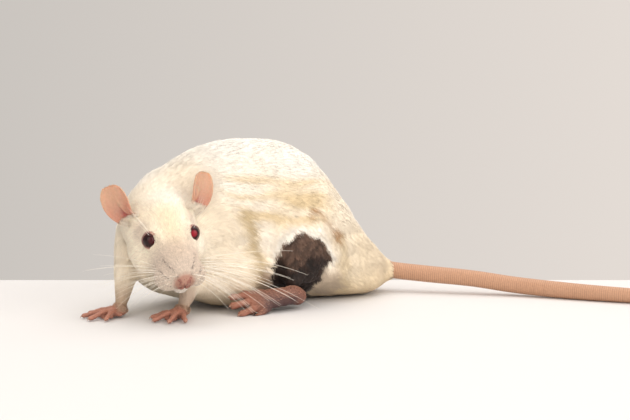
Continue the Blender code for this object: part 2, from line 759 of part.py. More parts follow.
def main():
    clear_scene()
    coat = make_material("coat", COAT, 0.8)
    bare = make_material("bare_skin", BARE_SKIN, 0.55)
    ear_skin = make_material("ear_skin", EAR_SKIN, 0.6)
    red = make_material("eye_red", EYE_RED, 0.15)
    scaly = make_material("tail_skin", TAIL_SKIN, 0.6)

    torso = flesh()
    head = copied(torso, "head")
    boolean(head, "INTERSECT", [head_cutter(HEAD_MARGIN)])
    details = [lid(side) for side in (1, -1)] + [ball("nose", *NOSE_PAD, HEAD_FRAME)]
    head = thinned(fused("head", [head] + details, HEAD_VOXEL, HEAD_SMOOTHING), HEAD_TRIANGLES)
    cutters = mouth_grooves(head)
    for side, name in ((1, "left"), (-1, "right")):
        centre = mirrored(EYE_CENTRE, side)
        eye = ball("eye_" + name, centre, (EYE_RADIUS,) * 3, HEAD_FRAME, 16, 10)
        eye.data.materials.append(red)
        ear(side, "ear_" + name).data.materials.append(ear_skin)
        cutters.append(ball("socket", centre, (EYE_RADIUS + GAP,) * 3, HEAD_FRAME, 20, 12))
        cutters.append(ball("nostril", mirrored(NOSTRIL[0], side), NOSTRIL[1], HEAD_FRAME, 10, 6))
        cutters.append(ear_socket(side))
    boolean(head, "DIFFERENCE", cutters)
    boolean(head, "INTERSECT", [head_cutter(0.0)])

    thinned(torso, FLESH_TRIANGLES)
    kept_side(torso, *tail_seam())
    boolean(torso, "DIFFERENCE", [head_cutter(GAP)])
    neck = parted(torso, "neck", neck_cutter)
    boolean(neck, "DIFFERENCE", [ear_socket(side) for side in (1, -1)])
    parts = [head, torso, neck]
    for side, foot, hand in (("left", LEFT_FOOT, LEFT_HAND), ("right", RIGHT_FOOT, RIGHT_HAND)):
        hindleg = parted(torso, "hindleg_" + side, bar_cutter("hip", *HIP_BARS[side]))
        foreleg = parted(torso, "foreleg_" + side, bar_cutter("arm", *ARM_BARS[side]))
        boolean(hindleg, "DIFFERENCE", [below_seam(foot, ANKLE_SEAM)])
        boolean(foreleg, "DIFFERENCE", [below_seam(hand, WRIST_SEAM)])
        parts += [hindleg, foreleg]
    set_on_floor(torso)
    for obj in parts:
        obj.data.materials.append(coat)
    add_paws(bare)
    for obj in tail():
        obj.data.materials.append(scaly)
    centred_on_floor()


main()
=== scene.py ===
"""Looks of the life-size laboratory rat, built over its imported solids.

The rat crouches on a pale floor with its head turned to its left. Its skin comes from the
solids, its short coat is solid tufts over the skin, and its eyes, ears, nose, paws, claws,
tail and whiskers are pieces of their own. It is a still model, so all rides on one body.
"""

import math

import bmesh
import bpy
import numpy as np
from mathutils import Matrix, Vector
from mathutils.bvhtree import BVHTree


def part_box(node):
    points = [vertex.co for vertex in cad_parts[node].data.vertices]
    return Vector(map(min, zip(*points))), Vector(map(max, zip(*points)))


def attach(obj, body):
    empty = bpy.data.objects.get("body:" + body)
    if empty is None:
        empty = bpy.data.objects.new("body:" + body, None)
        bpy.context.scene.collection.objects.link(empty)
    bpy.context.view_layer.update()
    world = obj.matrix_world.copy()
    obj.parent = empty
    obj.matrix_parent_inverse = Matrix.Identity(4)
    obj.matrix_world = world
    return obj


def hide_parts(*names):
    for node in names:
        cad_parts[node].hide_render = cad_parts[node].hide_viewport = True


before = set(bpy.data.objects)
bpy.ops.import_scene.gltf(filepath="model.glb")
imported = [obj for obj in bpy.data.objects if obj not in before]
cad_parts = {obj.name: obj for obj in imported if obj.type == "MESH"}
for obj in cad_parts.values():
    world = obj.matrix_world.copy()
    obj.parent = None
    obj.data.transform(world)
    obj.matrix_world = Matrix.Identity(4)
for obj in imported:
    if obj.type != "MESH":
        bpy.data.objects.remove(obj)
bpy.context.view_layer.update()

# Skin: one closed hide over head, neck, trunk and legs, which the coat grows from.
# The flesh solids are swollen until they touch, fused to a fine mesh, smoothed, and drawn
# in by the depth of the coat, so that the tips of the hair end where the solids do.
# The coat's depth is given for each of the flesh solids in their order.
FLESH = ("head", "neck", "torso", "foreleg_left", "foreleg_right", "hindleg_left", "hindleg_right")
COAT_DEPTH = (0.0016, 0.0030, 0.0034, 0.0018, 0.0018, 0.0026, 0.0026)
UP = Vector((0.0, 0.0, 1.0))
EYE_PLACE = Vector((-0.0252, 0.0103, 0.0081))
EYE_RADIUS = 0.0040
EYE_AXIS = Vector((0.74, 0.52, 0.43)).normalized()
EAR_ROOT = Vector((-0.0408, 0.0130, 0.0084))
EYE_BED = (0.0034, 0.0034, 0.0034)
EAR_BED = (0.0032, 0.0048, 0.0038)
SWELLING = 0.0004
SKIN_VOXEL = 0.0009
FACE_BACK, FACE_REACH = -0.036, 0.0215
SEAM_SOFTNESS = 0.0016
# Balls that fill the joins to the forepaws and to the tail: the middle and the radius.
LIMB_ROOTS = (
    ((-0.0737, 0.0100, 0.0046), 0.0036),
    ((-0.0972, 0.0309, 0.0046), 0.0036),
    ((0.0600, 0.0172, 0.0120), 0.0052),
    ((0.0640, 0.0140, 0.0112), 0.0050),
    ((0.0675, 0.0100, 0.0107), 0.0047),
)


def frame_at(origin, heading, pitch=0.0, roll=0.0):
    """A frame whose X points along heading and down by pitch, and whose Y is the rat's left."""
    turn, dip, lean = (math.radians(angle) for angle in (heading, pitch, roll))
    level = math.cos(dip)
    forward = Vector((math.cos(turn) * level, math.sin(turn) * level, -math.sin(dip)))
    level_left = Vector((-math.sin(turn), math.cos(turn), 0.0))
    level_up = forward.cross(level_left)
    left = level_left * math.cos(lean) + level_up * math.sin(lean)
    up = level_up * math.cos(lean) - level_left * math.sin(lean)
    result = Matrix((forward, left, up)).transposed().to_4x4()
    result.translation = origin
    return result


def mirrored(point, side):
    return Vector((point[0], point[1] * side, point[2]))


def middle(node):
    low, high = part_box(node)
    return (low + high) / 2


# The head's own frame starts at the nose tip, X forward and Y to the rat's left.
head_frame = frame_at(Vector(), 259.0, 29.5, 7.8)
head_frame.translation = middle("eye_left") - head_frame @ EYE_PLACE
to_head = np.array(head_frame.inverted())
# The limbs' places are given from a point on the floor by the haunches, which the solids share.
drawing_origin = head_frame.translation - Vector((-0.0847, -0.0123, 0.0221))


def drawn(*place):
    """A point given from the drawing origin."""
    return drawing_origin + Vector(place)


def eye_middle(side):
    return np.array(head_frame @ mirrored(EYE_PLACE, side))


def in_frame(points, inverse):
    """Points as a frame has them, given the inverse of the frame."""
    return points @ inverse[:3, :3].T + inverse[:3, 3]


def in_head(points):
    return in_frame(points, to_head)


def bounded(values, low, high):
    """0 under low, 1 over high, and a smooth step between."""
    t = np.clip((values - low) / (high - low), 0.0, 1.0)
    return t * t * (3 - 2 * t)


def fading(values, low, high):
    """1 under low, 0 over high, and a smooth step between."""
    return 1 - bounded(values, low, high)


def as_object(name, body):
    mesh = bpy.data.meshes.new(name)
    body.to_mesh(mesh)
    body.free()
    piece = bpy.data.objects.new(name, mesh)
    bpy.context.scene.collection.objects.link(piece)
    return piece


def ball_in(body, centre, radii, placing=Matrix.Identity(4), segments=24, rings=16):
    made = bmesh.ops.create_uvsphere(body, u_segments=segments, v_segments=rings, radius=1.0)
    shape = placing @ Matrix.Translation(centre) @ Matrix.Diagonal((*radii, 1.0))
    bmesh.ops.transform(body, matrix=shape, verts=made["verts"])


def fused(piece, voxel):
    """The piece as one closed surface, in place."""
    remesh = piece.modifiers.new("fuse", "REMESH")
    remesh.mode = "VOXEL"
    remesh.voxel_size = voxel
    graph = bpy.context.evaluated_depsgraph_get()
    mesh = bpy.data.meshes.new_from_object(piece.evaluated_get(graph))
    piece.modifiers.clear()
    piece.data = mesh


def read_points(mesh):
    points = np.empty(len(mesh.vertices) * 3)
    mesh.vertices.foreach_get("co", points)
    return points.reshape(-1, 3)


def read_normals(mesh):
    normals = np.empty(len(mesh.vertices) * 3)
    mesh.vertices.foreach_get("normal", normals)
    return normals.reshape(-1, 3)


def write_points(mesh, points):
    mesh.vertices.foreach_set("co", points.ravel())
    mesh.update()


def neighbours(mesh):
    edges = np.empty(len(mesh.edges) * 2, dtype=np.int64)
    mesh.edges.foreach_get("vertices", edges)
    edges = edges.reshape(-1, 2)
    ends = np.concatenate((edges[:, 0], edges[:, 1]))
    starts = np.concatenate((edges[:, 1], edges[:, 0]))
    count = np.bincount(ends, minlength=len(mesh.vertices))
    return ends, starts, np.maximum(count, 1)


def evened(values, links, times, share=0.5):
    """Values over a mesh's points, each drawn towards its neighbours' mean some times."""
    ends, starts, count = links
    values = values.reshape(len(count), -1).copy()
    for _ in range(times):
        for column in range(values.shape[1]):
            total = np.bincount(ends, weights=values[starts, column], minlength=len(count))
            values[:, column] += share * (total / count - values[:, column])
    return values.squeeze()


def unit(vectors):
    return vectors / np.maximum(np.linalg.norm(vectors, axis=-1, keepdims=True), 1e-12)


hide = bmesh.new()
for node in FLESH:
    solid = bmesh.new()
    solid.from_mesh(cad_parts[node].data)
    bmesh.ops.remove_doubles(solid, verts=solid.verts, dist=1e-6)
    solid.normal_update()
    for vert in solid.verts:
        vert.co += vert.normal * SWELLING
    loose = bpy.data.meshes.new(node + "_swollen")
    solid.to_mesh(loose)
    solid.free()
    hide.from_mesh(loose)
for side in (1, -1):
    ball_in(hide, mirrored(EYE_PLACE, side), EYE_BED, head_frame)
    ball_in(hide, mirrored(EAR_ROOT, side), EAR_BED, head_frame)
for place, radius in LIMB_ROOTS:
    ball_in(hide, drawn(*place), (radius,) * 3)
skin = as_object("skin", hide)
fused(skin, SKIN_VOXEL)

# The face, with its fine forms, has a mesh of half the size.
hide = bmesh.new()
hide.from_mesh(skin.data)
face_middles = in_head(np.array([face.calc_center_median() for face in hide.faces]))
on_face = face_middles[:, 0] > FACE_BACK
on_face &= np.hypot(face_middles[:, 1], face_middles[:, 2]) < FACE_REACH
edges = list({edge for face, wanted in zip(hide.faces, on_face) if wanted for edge in face.edges})
bmesh.ops.subdivide_edges(hide, edges=edges, cuts=1, use_grid_fill=True)
bmesh.ops.triangulate(hide, faces=hide.faces)
hide.to_mesh(skin.data)
hide.free()

# Which solid each point belongs to, softened across the seams, says how deep the coat is there.
points = read_points(skin.data)
links = neighbours(skin.data)
points = evened(points, links, 8)
write_points(skin.data, points)
nearness = np.empty((len(points), len(FLESH)))
for column, node in enumerate(FLESH):
    tree = BVHTree.FromObject(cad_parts[node], bpy.context.evaluated_depsgraph_get())
    nearness[:, column] = [tree.find_nearest(point)[3] for point in points]
membership = np.exp(-((nearness / SEAM_SOFTNESS) ** 2)) + 1e-9
membership = evened(membership / membership.sum(axis=1, keepdims=True), links, 40)

head_points = in_head(points)
headness = membership[:, 0]
legness = membership[:, 3:].sum(axis=1)
face_depth = 0.0003 + 0.0013 * bounded(-head_points[:, 0], 0.004, 0.044)
coat_depth = membership @ np.array(COAT_DEPTH)
coat_depth = coat_depth * (1 - headness) + face_depth * headness
coat_depth *= 1 - legness * fading(points[:, 2], 0.007, 0.026) * 0.85
coat_depth *= 1 - 0.85 * bounded(points[:, 0] - drawing_origin.x, 0.054, 0.066)
for side in (1, -1):
    reach = np.linalg.norm(points - eye_middle(side), axis=1)
    coat_depth *= 0.2 + 0.8 * bounded(reach, 0.0042, 0.0080)
coat_depth = evened(coat_depth, links, 12)
points = points - read_normals(skin.data) * (coat_depth + SWELLING)[:, None]
points = evened(points, links, 3)

# The legs narrow to the wrists and ankles, and the face opens round each eyeball. Each leg has
# its place among the flesh solids, its end's x and y, and the share of its width kept there.
LEG_ENDS = (
    (3, (-0.0738, 0.0099), 1.0),
    (4, (-0.0972, 0.0308), 0.98),
    (5, (-0.0128, 0.0022), 0.90),
    (6, (-0.0002, 0.0700), 0.80),
)
LID_ANGLE = 53.0
LID_SINK = 0.0009
for column, place, narrow in LEG_ENDS:
    centre = np.array(drawn(*place, 0.0))[:2]
    share = membership[:, column] * fading(points[:, 2], 0.0045, 0.0150)
    share *= np.linalg.norm(points[:, :2] - centre, axis=1) < 0.014
    points[:, :2] += (centre - points[:, :2]) * (share * (1 - narrow))[:, None]
eye_gap = np.full(len(points), 1.0)
for side in (1, -1):
    centre = eye_middle(side)
    axis = np.array(head_frame.to_3x3() @ mirrored(EYE_AXIS, side))
    offset = points - centre
    reach = np.linalg.norm(offset, axis=1)
    polar = np.degrees(np.arccos(np.clip(offset @ axis / reach, -1, 1)))
    opened = fading(polar, LID_ANGLE - 4, LID_ANGLE + 12) * (reach < 0.0090)
    sunk = np.minimum(EYE_RADIUS - LID_SINK - reach, 0.0) * opened
    points += offset / reach[:, None] * sunk[:, None]
    off_axis = reach * np.sin(np.radians(np.minimum(polar, 90.0)))
    eye_gap = np.minimum(eye_gap, np.where(polar < 100.0, off_axis, reach))
write_points(skin.data, points)

# The muzzle's forms: the line of the mouth, the cleft under the nose, and the whiskers' roots.
surface = BVHTree.FromObject(skin, bpy.context.evaluated_depsgraph_get())
head_axes = head_frame.to_3x3()


def on_skin(start, direction):
    """Where a line from a place near the head, both given in its frame, meets the skin."""
    hit, normal, _, _ = surface.ray_cast(head_frame @ start, head_axes @ direction)
    return (hit, normal) if hit else (head_frame @ start, head_axes @ -direction)


MOUTH_DEPTH, CLEFT_DEPTH, WHISKER_PAD = 0.0012, 0.0009, 0.00016
MOUTH_FRONT, MOUTH_CORNER = Vector((-0.0030, 0.0, -0.0072)), Vector((-0.0145, 0.0, -0.0096))
mouth_lines = []
for side in (1, -1):
    line = []
    for step in range(12):
        t = step / 11
        place = MOUTH_FRONT.lerp(MOUTH_CORNER, t)
        aim = mirrored(Vector((0.35 * (1 - t), 1.0, -0.25)).normalized(), side)
        line.append(on_skin(place + aim * 0.03, -aim)[0])
    mouth_lines.append(line)
BACKWARD = Vector((-1.0, 0.0, 0.0))
cleft = [on_skin(Vector((0.03, 0.0, -0.0036 - 0.0006 * step)), BACKWARD)[0] for step in range(8)]

# Each row of whiskers on a side: its height on the muzzle and how many it has.
WHISKER_ROWS = ((0.0006, 6), (-0.0010, 7), (-0.0027, 7), (-0.0045, 6), (-0.0062, 5))
whisker_roots = []
for side in (1, -1):
    for row, (height, count) in enumerate(WHISKER_ROWS):
        for place in range(count):
            along = -0.0052 - 0.0022 * place - 0.0006 * (row % 2)
            start = Vector((along, 0.03 * side, height - 0.0003 * place + 0.0012))
            spot, normal = on_skin(start, Vector((0.12, -side, 0.0)).normalized())
            whisker_roots.append((spot, normal, side, row, place))


def distance_to_line(points, line):
    """How far each point is from a line of points."""
    nearest = np.full(len(points), 1.0)
    for near, far in zip(line, line[1:]):
        near, far = np.array(near), np.array(far)
        run = far - near
        t = np.clip((points - near) @ run / (run @ run), 0.0, 1.0)
        nearest = np.minimum(nearest, np.linalg.norm(points - near - t[:, None] * run, axis=1))
    return nearest


def line_nearness(points, line, width):
    """1 on a line of points, falling to 0 over the width."""
    return np.exp(-((distance_to_line(points, line) / width) ** 2))


def spot_nearness(points, spot, width):
    """1 on a spot, falling to 0 over the width."""
    return np.exp(-((np.linalg.norm(points - np.array(spot), axis=1) / width) ** 2))


normals = read_normals(skin.data)
rise = np.zeros(len(points))
for line in mouth_lines:
    rise -= MOUTH_DEPTH * line_nearness(points, line, 0.0006)
rise -= CLEFT_DEPTH * line_nearness(points, cleft, 0.0005)
for spot, *_ in whisker_roots:
    rise += WHISKER_PAD * spot_nearness(points, spot, 0.0007)
points = points + normals * rise[:, None]
write_points(skin.data, points)

# Markings: the coat's colours, the same on the skin and on each hair that grows from it:
# cream, whiter on the back as painted light from above, yellow and tan low down as painted
# shade under the body, and yellow in bands, with a fold over the left haunch painted brown as
# the shade in its crease and a dark patch of thin, wrinkled skin on it, painted by place in the
# skin's own frame.
CREAM = np.array((0.94, 0.83, 0.66))
WHITE_COAT = np.array((0.97, 0.93, 0.86))
YELLOW = np.array((0.77, 0.60, 0.35))
TAN = np.array((0.38, 0.20, 0.08))
# The patch's colour in painted shadow, low down.
PATCH_IN_SHADOW = np.array((0.024, 0.013, 0.010))
TAUPE = np.array((0.125, 0.074, 0.052))
RUMP_SHADE = np.array((0.36, 0.27, 0.20))
MUZZLE_SKIN = np.array((0.66, 0.52, 0.45))
PINK = np.array((0.55, 0.30, 0.23))
# Dark lines along the rows of whiskers' roots, in the head's frame: the roots' dark skin and
# painted shadow between the ridges of the whisker pad.
MUZZLE_MARKS = (
    (
        (-0.0114, -0.0075, 0.0056), (-0.0082, -0.0064, 0.0048),
        (-0.0056, -0.0052, 0.0041), (-0.0039, -0.0042, 0.0034),
    ),
    ((-0.0081, -0.0098, 0.0013), (-0.0049, -0.0088, 0.0006), (-0.0030, -0.0069, -0.0003)),
    ((-0.0040, -0.0096, -0.0016), (-0.0021, -0.0066, -0.0033)),
)
NOSE_EDGE = np.array((0.40, 0.19, 0.135))
ARM_SHADE = np.array((0.40, 0.28, 0.20))
TAIL_ROOT = np.array((0.60, 0.40, 0.29))
# Places on the left haunch as x and z from the drawing origin: the patch, the painted shade
# of the rump beside it, the brown fur and painted shadow before it, the fold over it, painted
# brown as the shade in its crease, and the yellow line of painted shade in the fold before the
# haunch.
PATCH_OUTLINE = (
    (-0.0137, 0.0374), (-0.0168, 0.0349), (-0.0201, 0.0298), (-0.0240, 0.0253), (-0.0264, 0.0200),
    (-0.0275, 0.0127), (-0.0240, 0.0040), (0.0025, 0.0030), (0.0022, 0.0110), (0.0045, 0.0155),
    (0.0079, 0.0192), (0.0090, 0.0249), (0.0050, 0.0321), (-0.0012, 0.0373), (-0.0091, 0.0387),
)
RUMP_SHADE_CENTRE, RUMP_SHADE_SIZE = (0.0082, 0.0136), (0.0080, 0.0080)
FLANK_SHADE, SHADE_SIZE = (-0.0310, 0.0130), (0.0090, 0.0130)
FOLD_LINE = (
    (-0.0042, 0.0512), (0.0006, 0.0496), (0.0035, 0.0470),
    (0.0067, 0.0438), (0.0099, 0.0405), (0.0140, 0.0355),
)
FOLD_START, FOLD_END = FOLD_LINE[:2], ((0.0095, 0.0410), (0.0130, 0.0368))
FOLD_TAIL = ((0.0140, 0.0355), (0.0167, 0.0296), (0.0160, 0.0207), (0.0175, 0.0080))
FLANK_LINE = (
    (-0.0405, 0.0522), (-0.0388, 0.0436), (-0.0376, 0.0350), (-0.0364, 0.0270), (-0.0352, 0.0180),
)
# The wrists and the right ankle, as x, y and the height that their darker skin and painted
# shade reach.
WRISTS = ((-0.0738, 0.0099, 0.034), (-0.0972, 0.0308, 0.026), (0.0, 0.07, 0.024))
FOLD_SPACING = 0.0064
HEAD_MIDDLE = (-0.03, 0.0, 0.0)
BACK_HEIGHT = 0.080


def cell_values(places, size, seed):
    """The middle of each place's cell in a jittered grid, and three numbers of that cell."""
    corner = np.floor(places / size)
    best = np.full(len(places), 1e9)
    middles = np.zeros_like(places)
    numbers = np.zeros_like(places)
    for step in np.ndindex(3, 3, 3):
        cell = corner + np.array(step) - 1
        key = (cell @ np.array((12.9898, 78.233, 37.719)) + seed * 4.137)[:, None]
        draw = np.modf(np.abs(np.sin(key * np.array((1.0, 1.31, 1.73))) * 43758.5453))[0]
        centre = (cell + draw) * size
        gap = np.linalg.norm(centre - places, axis=1)
        closer = gap < best
        best[closer] = gap[closer]
        middles[closer] = centre[closer]
        numbers[closer] = np.modf(draw[closer] * 97.13 + 0.37)[0]
    return middles, numbers


def waves(places, size, seed):
    """Soft, smooth values of about -1 to 1 that vary over this size."""
    turns = np.random.default_rng(seed)
    total = np.zeros(len(places))
    for _ in range(10):
        direction = unit(turns.normal(size=3))
        stretch = (2 * math.pi / size) * turns.uniform(0.6, 1.6)
        total += np.sin(places @ direction * stretch + turns.uniform(0, 6.28))
    return total / 3.2


def blended_in(colours, other, share):
    share = np.clip(share, 0.0, 1.0)[:, None]
    return colours * (1 - share) + other * share


def mixed(colour, other, share):
    """One colour with another mixed in by a share for each place."""
    return blended_in(np.tile(colour, (len(share), 1)), other, share)


def oval_gap(flat, centre, size):
    """How far flat places are from the middle of an oval, where 1 is its edge."""
    return np.linalg.norm((flat - np.array(centre)) / np.array(size), axis=1)


def line_gap(flat, line):
    """How far flat places are from a line drawn on the flat."""
    line = [(x, 0.0, z) for x, z in line]
    lifted = np.c_[flat[:, 0], np.zeros(len(flat)), flat[:, 1]]
    return distance_to_line(lifted, line)


def line_share(flat, line, width):
    """1 on a line drawn on the flat, falling to 0 over the width."""
    return np.exp(-((line_gap(flat, line) / width) ** 2))


def outline_gap(flat, outline):
    """How far flat places are from a closed outline, below 0 inside it."""
    closed = list(outline) + [outline[0]]
    inside = np.zeros(len(flat), dtype=bool)
    for (x1, z1), (x2, z2) in zip(closed, closed[1:]):
        crosses = (flat[:, 1] > z1) != (flat[:, 1] > z2)
        where = x1 + (flat[:, 1] - z1) / (z2 - z1) * (x2 - x1)
        inside ^= crosses & (flat[:, 0] < where)
    return np.where(inside, -1.0, 1.0) * line_gap(flat, closed)


def wrinkles(places):
    """The folds of the thin-haired patch: ridges of about 1 and valleys of about -1."""
    own = places - np.array(drawing_origin)
    bent = own[:, 2] - 0.45 * own[:, 0]
    bent += 0.0022 * waves(places, 0.011, 51) + 0.0008 * waves(places, 0.004, 52)
    folds = np.sin(bent * (2 * math.pi / FOLD_SPACING)) * (0.75 + 0.35 * waves(places, 0.010, 53))
    return folds * 0.7 + 0.3 * waves(places, 0.0032, 54)


def coat_colours(places):
    """The coat's colour at each place, painted over in order from the trunk to the paws."""
    own = places - np.array(drawing_origin)
    uneven = np.c_[waves(places, 0.007, 3), waves(places, 0.007, 4)] * 0.0011
    uneven += np.c_[waves(places, 0.0024, 6), waves(places, 0.0024, 7)] * 0.0006
    flat = own[:, [0, 2]] + uneven
    near_head = in_head(places)
    from_head = np.linalg.norm(near_head - np.array(HEAD_MIDDLE), axis=1)
    off_head = bounded(from_head, 0.026, 0.040)
    height = places[:, 2] / BACK_HEIGHT
    colours = np.tile(CREAM, (len(places), 1))

    def paint(colour, share):
        nonlocal colours
        colours = blended_in(colours, colour, share)

    # Whiter up on the back: painted light from above.
    paint(WHITE_COAT, bounded(height + 0.20 * waves(places, 0.04, 5), 0.45, 1.10))
    # Yellow and then tan low down by the floor: painted shade under the body.
    low = fading(places[:, 2], 0.004, 0.024) * off_head
    paint(YELLOW, 0.55 * low)
    paint(TAN * 1.2, 0.42 * fading(places[:, 2], 0.002, 0.013) * off_head)
    # Yellower bands across both flanks, stretched along the body.
    flank = bounded(own[:, 0], -0.056, -0.040) * fading(own[:, 0], -0.002, 0.016)
    flank *= bounded(own[:, 2], 0.040, 0.050) * off_head
    flank *= fading(own[:, 2], 0.062, 0.074)
    bands = waves(places * np.array((0.10, 0.25, 1.5)), 0.0072, 15) * 0.75 + 0.35
    paint(YELLOW, 0.85 * flank * np.clip(bands, 0, 1))
    # The left haunch: yellow painted shade in the folds before and behind it, a yellower rump,
    # a white border, the fold and the patch.
    left_side = fading(own[:, 1], 0.020, 0.030)
    # Painted shade in yellow, in the fold between the flank and the thigh.
    paint(YELLOW * 0.78, 0.95 * left_side * line_share(flat, FLANK_LINE, 0.0040))
    rump = left_side * bounded(own[:, 0], 0.014, 0.028) * fading(own[:, 2], 0.030, 0.050)
    paint(YELLOW, 0.30 * rump)
    # Painted shade in yellow where the fold runs down behind the haunch.
    paint(YELLOW * 0.80, 0.60 * left_side * line_share(flat, FOLD_TAIL, 0.0030))
    gap = outline_gap(flat, PATCH_OUTLINE)
    above = bounded(own[:, 2] + 0.8 * own[:, 0], 0.004, 0.016)
    above *= bounded(own[:, 2] - 0.6 * own[:, 0], 0.008, 0.026)
    band_width = 0.0058 + 0.0044 * bounded(-own[:, 0], 0.004, 0.014)
    band = bounded(gap, -0.0006, 0.0006) * fading(gap / band_width, 0.30, 1.0) * above
    paint(WHITE_COAT, 0.78 * left_side * band)
    # The fold's crease painted brown as its shade.
    fold = 0.55 * line_share(flat, FOLD_LINE, 0.0016)
    fold = np.maximum(fold, line_share(flat, FOLD_START, 0.0014))
    fold = np.maximum(fold, line_share(flat, FOLD_END, 0.0021))
    paint(TAN, 0.92 * left_side * fold)
    # Painted shade on the lower rump behind the ankle.
    rump_shade = left_side * fading(oval_gap(flat, RUMP_SHADE_CENTRE, RUMP_SHADE_SIZE), 0.55, 1.30)
    paint(RUMP_SHADE, 0.70 * rump_shade)
    # Brown fur and painted shadow on the flank before the haunch, by the foot.
    flank_shadow = left_side * fading(oval_gap(flat, FLANK_SHADE, SHADE_SIZE), 0.30, 1.25)
    paint(TAUPE * 1.6, 0.80 * flank_shadow)
    # The dark patch: nearly black low down as painted shadow between the shank and the belly,
    # brown above, and lighter on its wrinkles' ridges and darker in their valleys as painted light
    # and shade.
    patch = left_side * fading(gap, -0.0008, 0.0008)
    depth_of_tone = bounded(own[:, 2] + 0.003 * waves(places, 0.012, 16), 0.020, 0.030)
    tone = PATCH_IN_SHADOW * (1 - depth_of_tone)[:, None] + TAUPE * depth_of_tone[:, None]
    tone = tone * (1 + 0.75 * np.clip(wrinkles(places), -0.6, 1.0))[:, None]
    paint(tone, patch)
    # The face: a yellower bridge, thin grey-pink hair on the muzzle, pale lips, shaded corners
    # of the eyes, dark lines among the whiskers, partly painted shadow between the pad's ridges,
    # and a pink edge round the nose.
    on_face = 1 - off_head
    bridge = np.exp(-((near_head[:, 1] / 0.0065) ** 2)) * bounded(near_head[:, 0], -0.046, -0.030)
    bridge *= fading(near_head[:, 0], -0.012, -0.005) * bounded(near_head[:, 2], 0.0, 0.006)
    paint(YELLOW * 1.06, 0.40 * bridge * on_face)
    muzzle = bounded(near_head[:, 0], -0.024, -0.012) * on_face
    paint(MUZZLE_SKIN * 0.78, muzzle * 0.65)
    lips = muzzle * bounded(-near_head[:, 2], 0.0056, 0.0078)
    paint(WHITE_COAT, lips * 0.60)
    for side in (1, -1):
        corner = np.array(mirrored(EYE_PLACE + Vector((-0.0062, 0.0006, -0.0006)), side))
        shade = fading(np.linalg.norm(near_head - corner, axis=1), 0.0020, 0.0062)
        paint(MUZZLE_SKIN * 0.80, 0.45 * shade)
    near = near_head[:, 0] > -0.030
    mirror = near_head[near] * np.array((1.0, -1.0, 1.0))
    marks = np.zeros(len(places))
    for line in MUZZLE_MARKS:
        for side_places in (near_head[near], mirror):
            marks[near] = np.maximum(marks[near], line_nearness(side_places, line, 0.00080))
    # The dark lines: the roots' dark skin and painted shadow between the pad's ridges.
    paint(MUZZLE_SKIN * 0.42, marks * (0.28 + 0.70 * waves(places, 0.0011, 19)))
    nose_gap = np.linalg.norm(near_head - np.array((-0.001, 0.0, -0.002)), axis=1)
    paint(NOSE_EDGE, 0.9 - 0.9 * bounded(nose_gap, 0.0040, 0.0058))
    # The ends of the body, where the hair thins out over bare skin, darkened further up the
    # legs as painted shade.
    for x, y, top in WRISTS:
        at_wrist = fading(np.hypot(own[:, 0] - x, own[:, 1] - y), 0.006, 0.012)
        at_wrist *= fading(own[:, 2], 0.005, top)
        paint(ARM_SHADE, 0.85 * at_wrist)
    paint(TAIL_ROOT, 0.9 * bounded(own[:, 0], 0.0560, 0.0625))
    return np.clip(colours, 0.0, 0.98)


def colour_points(mesh, colours):
    attribute = mesh.attributes.new("tint", "FLOAT_COLOR", "POINT")
    opaque = np.c_[colours, np.ones(len(colours))].astype(np.float32)
    attribute.data.foreach_set("color", opaque.ravel())


def tinted(name, roughness, grain, grain_size, bump, **settings):
    """A material that takes its colour from the points, broken up by a fine grain."""
    material = bpy.data.materials.new(name)
    material.use_nodes = True
    nodes, links = material.node_tree.nodes, material.node_tree.links
    shader = nodes["Principled BSDF"]
    tint = nodes.new("ShaderNodeVertexColor")
    tint.layer_name = "tint"
    place = nodes.new("ShaderNodeTexCoord")
    noise = nodes.new("ShaderNodeTexNoise")
    noise.inputs["Scale"].default_value = 1 / grain_size
    noise.inputs["Detail"].default_value = 3.0
    links.new(place.outputs["Object"], noise.inputs["Vector"])
    strength = nodes.new("ShaderNodeMapRange")
    strength.inputs["To Min"].default_value = 1 - grain
    strength.inputs["To Max"].default_value = 1 + grain
    links.new(noise.outputs["Fac"], strength.inputs["Value"])
    shade = nodes.new("ShaderNodeVectorMath")
    shade.operation = "SCALE"
    links.new(tint.outputs["Color"], shade.inputs["Vector"])
    links.new(strength.outputs["Result"], shade.inputs["Scale"])
    links.new(shade.outputs["Vector"], shader.inputs["Base Color"])
    shader.inputs["Roughness"].default_value = roughness
    for setting, value in settings.items():
        shader.inputs[setting.replace("_", " ")].default_value = value
    if bump:
        relief = nodes.new("ShaderNodeBump")
        relief.inputs["Strength"].default_value = bump
        relief.inputs["Distance"].default_value = grain_size / 3
        links.new(noise.outputs["Fac"], relief.inputs["Height"])
        links.new(relief.outputs["Normal"], shader.inputs["Normal"])
    return material


own = points - np.array(drawing_origin)
patch_share = fading(outline_gap(own[:, [0, 2]], PATCH_OUTLINE), -0.0015, 0.0010)
patch_share *= own[:, 1] < 0.028
patch_share = evened(patch_share, links, 6)
at_root = bounded(own[:, 0], 0.0520, 0.0640)
relief = patch_share * (0.60 * coat_depth + 0.0008 * wrinkles(points)) - 0.0015 * at_root
points = points + read_normals(skin.data) * relief[:, None]
coat_depth *= 1 - 0.60 * patch_share
write_points(skin.data, points)
skin_colours = coat_colours(points) * 0.9
for spot, *_ in whisker_roots:
    dot = spot_nearness(points, spot, 0.00050)
    skin_colours = blended_in(skin_colours, MUZZLE_SKIN * 0.28, 0.9 * dot)
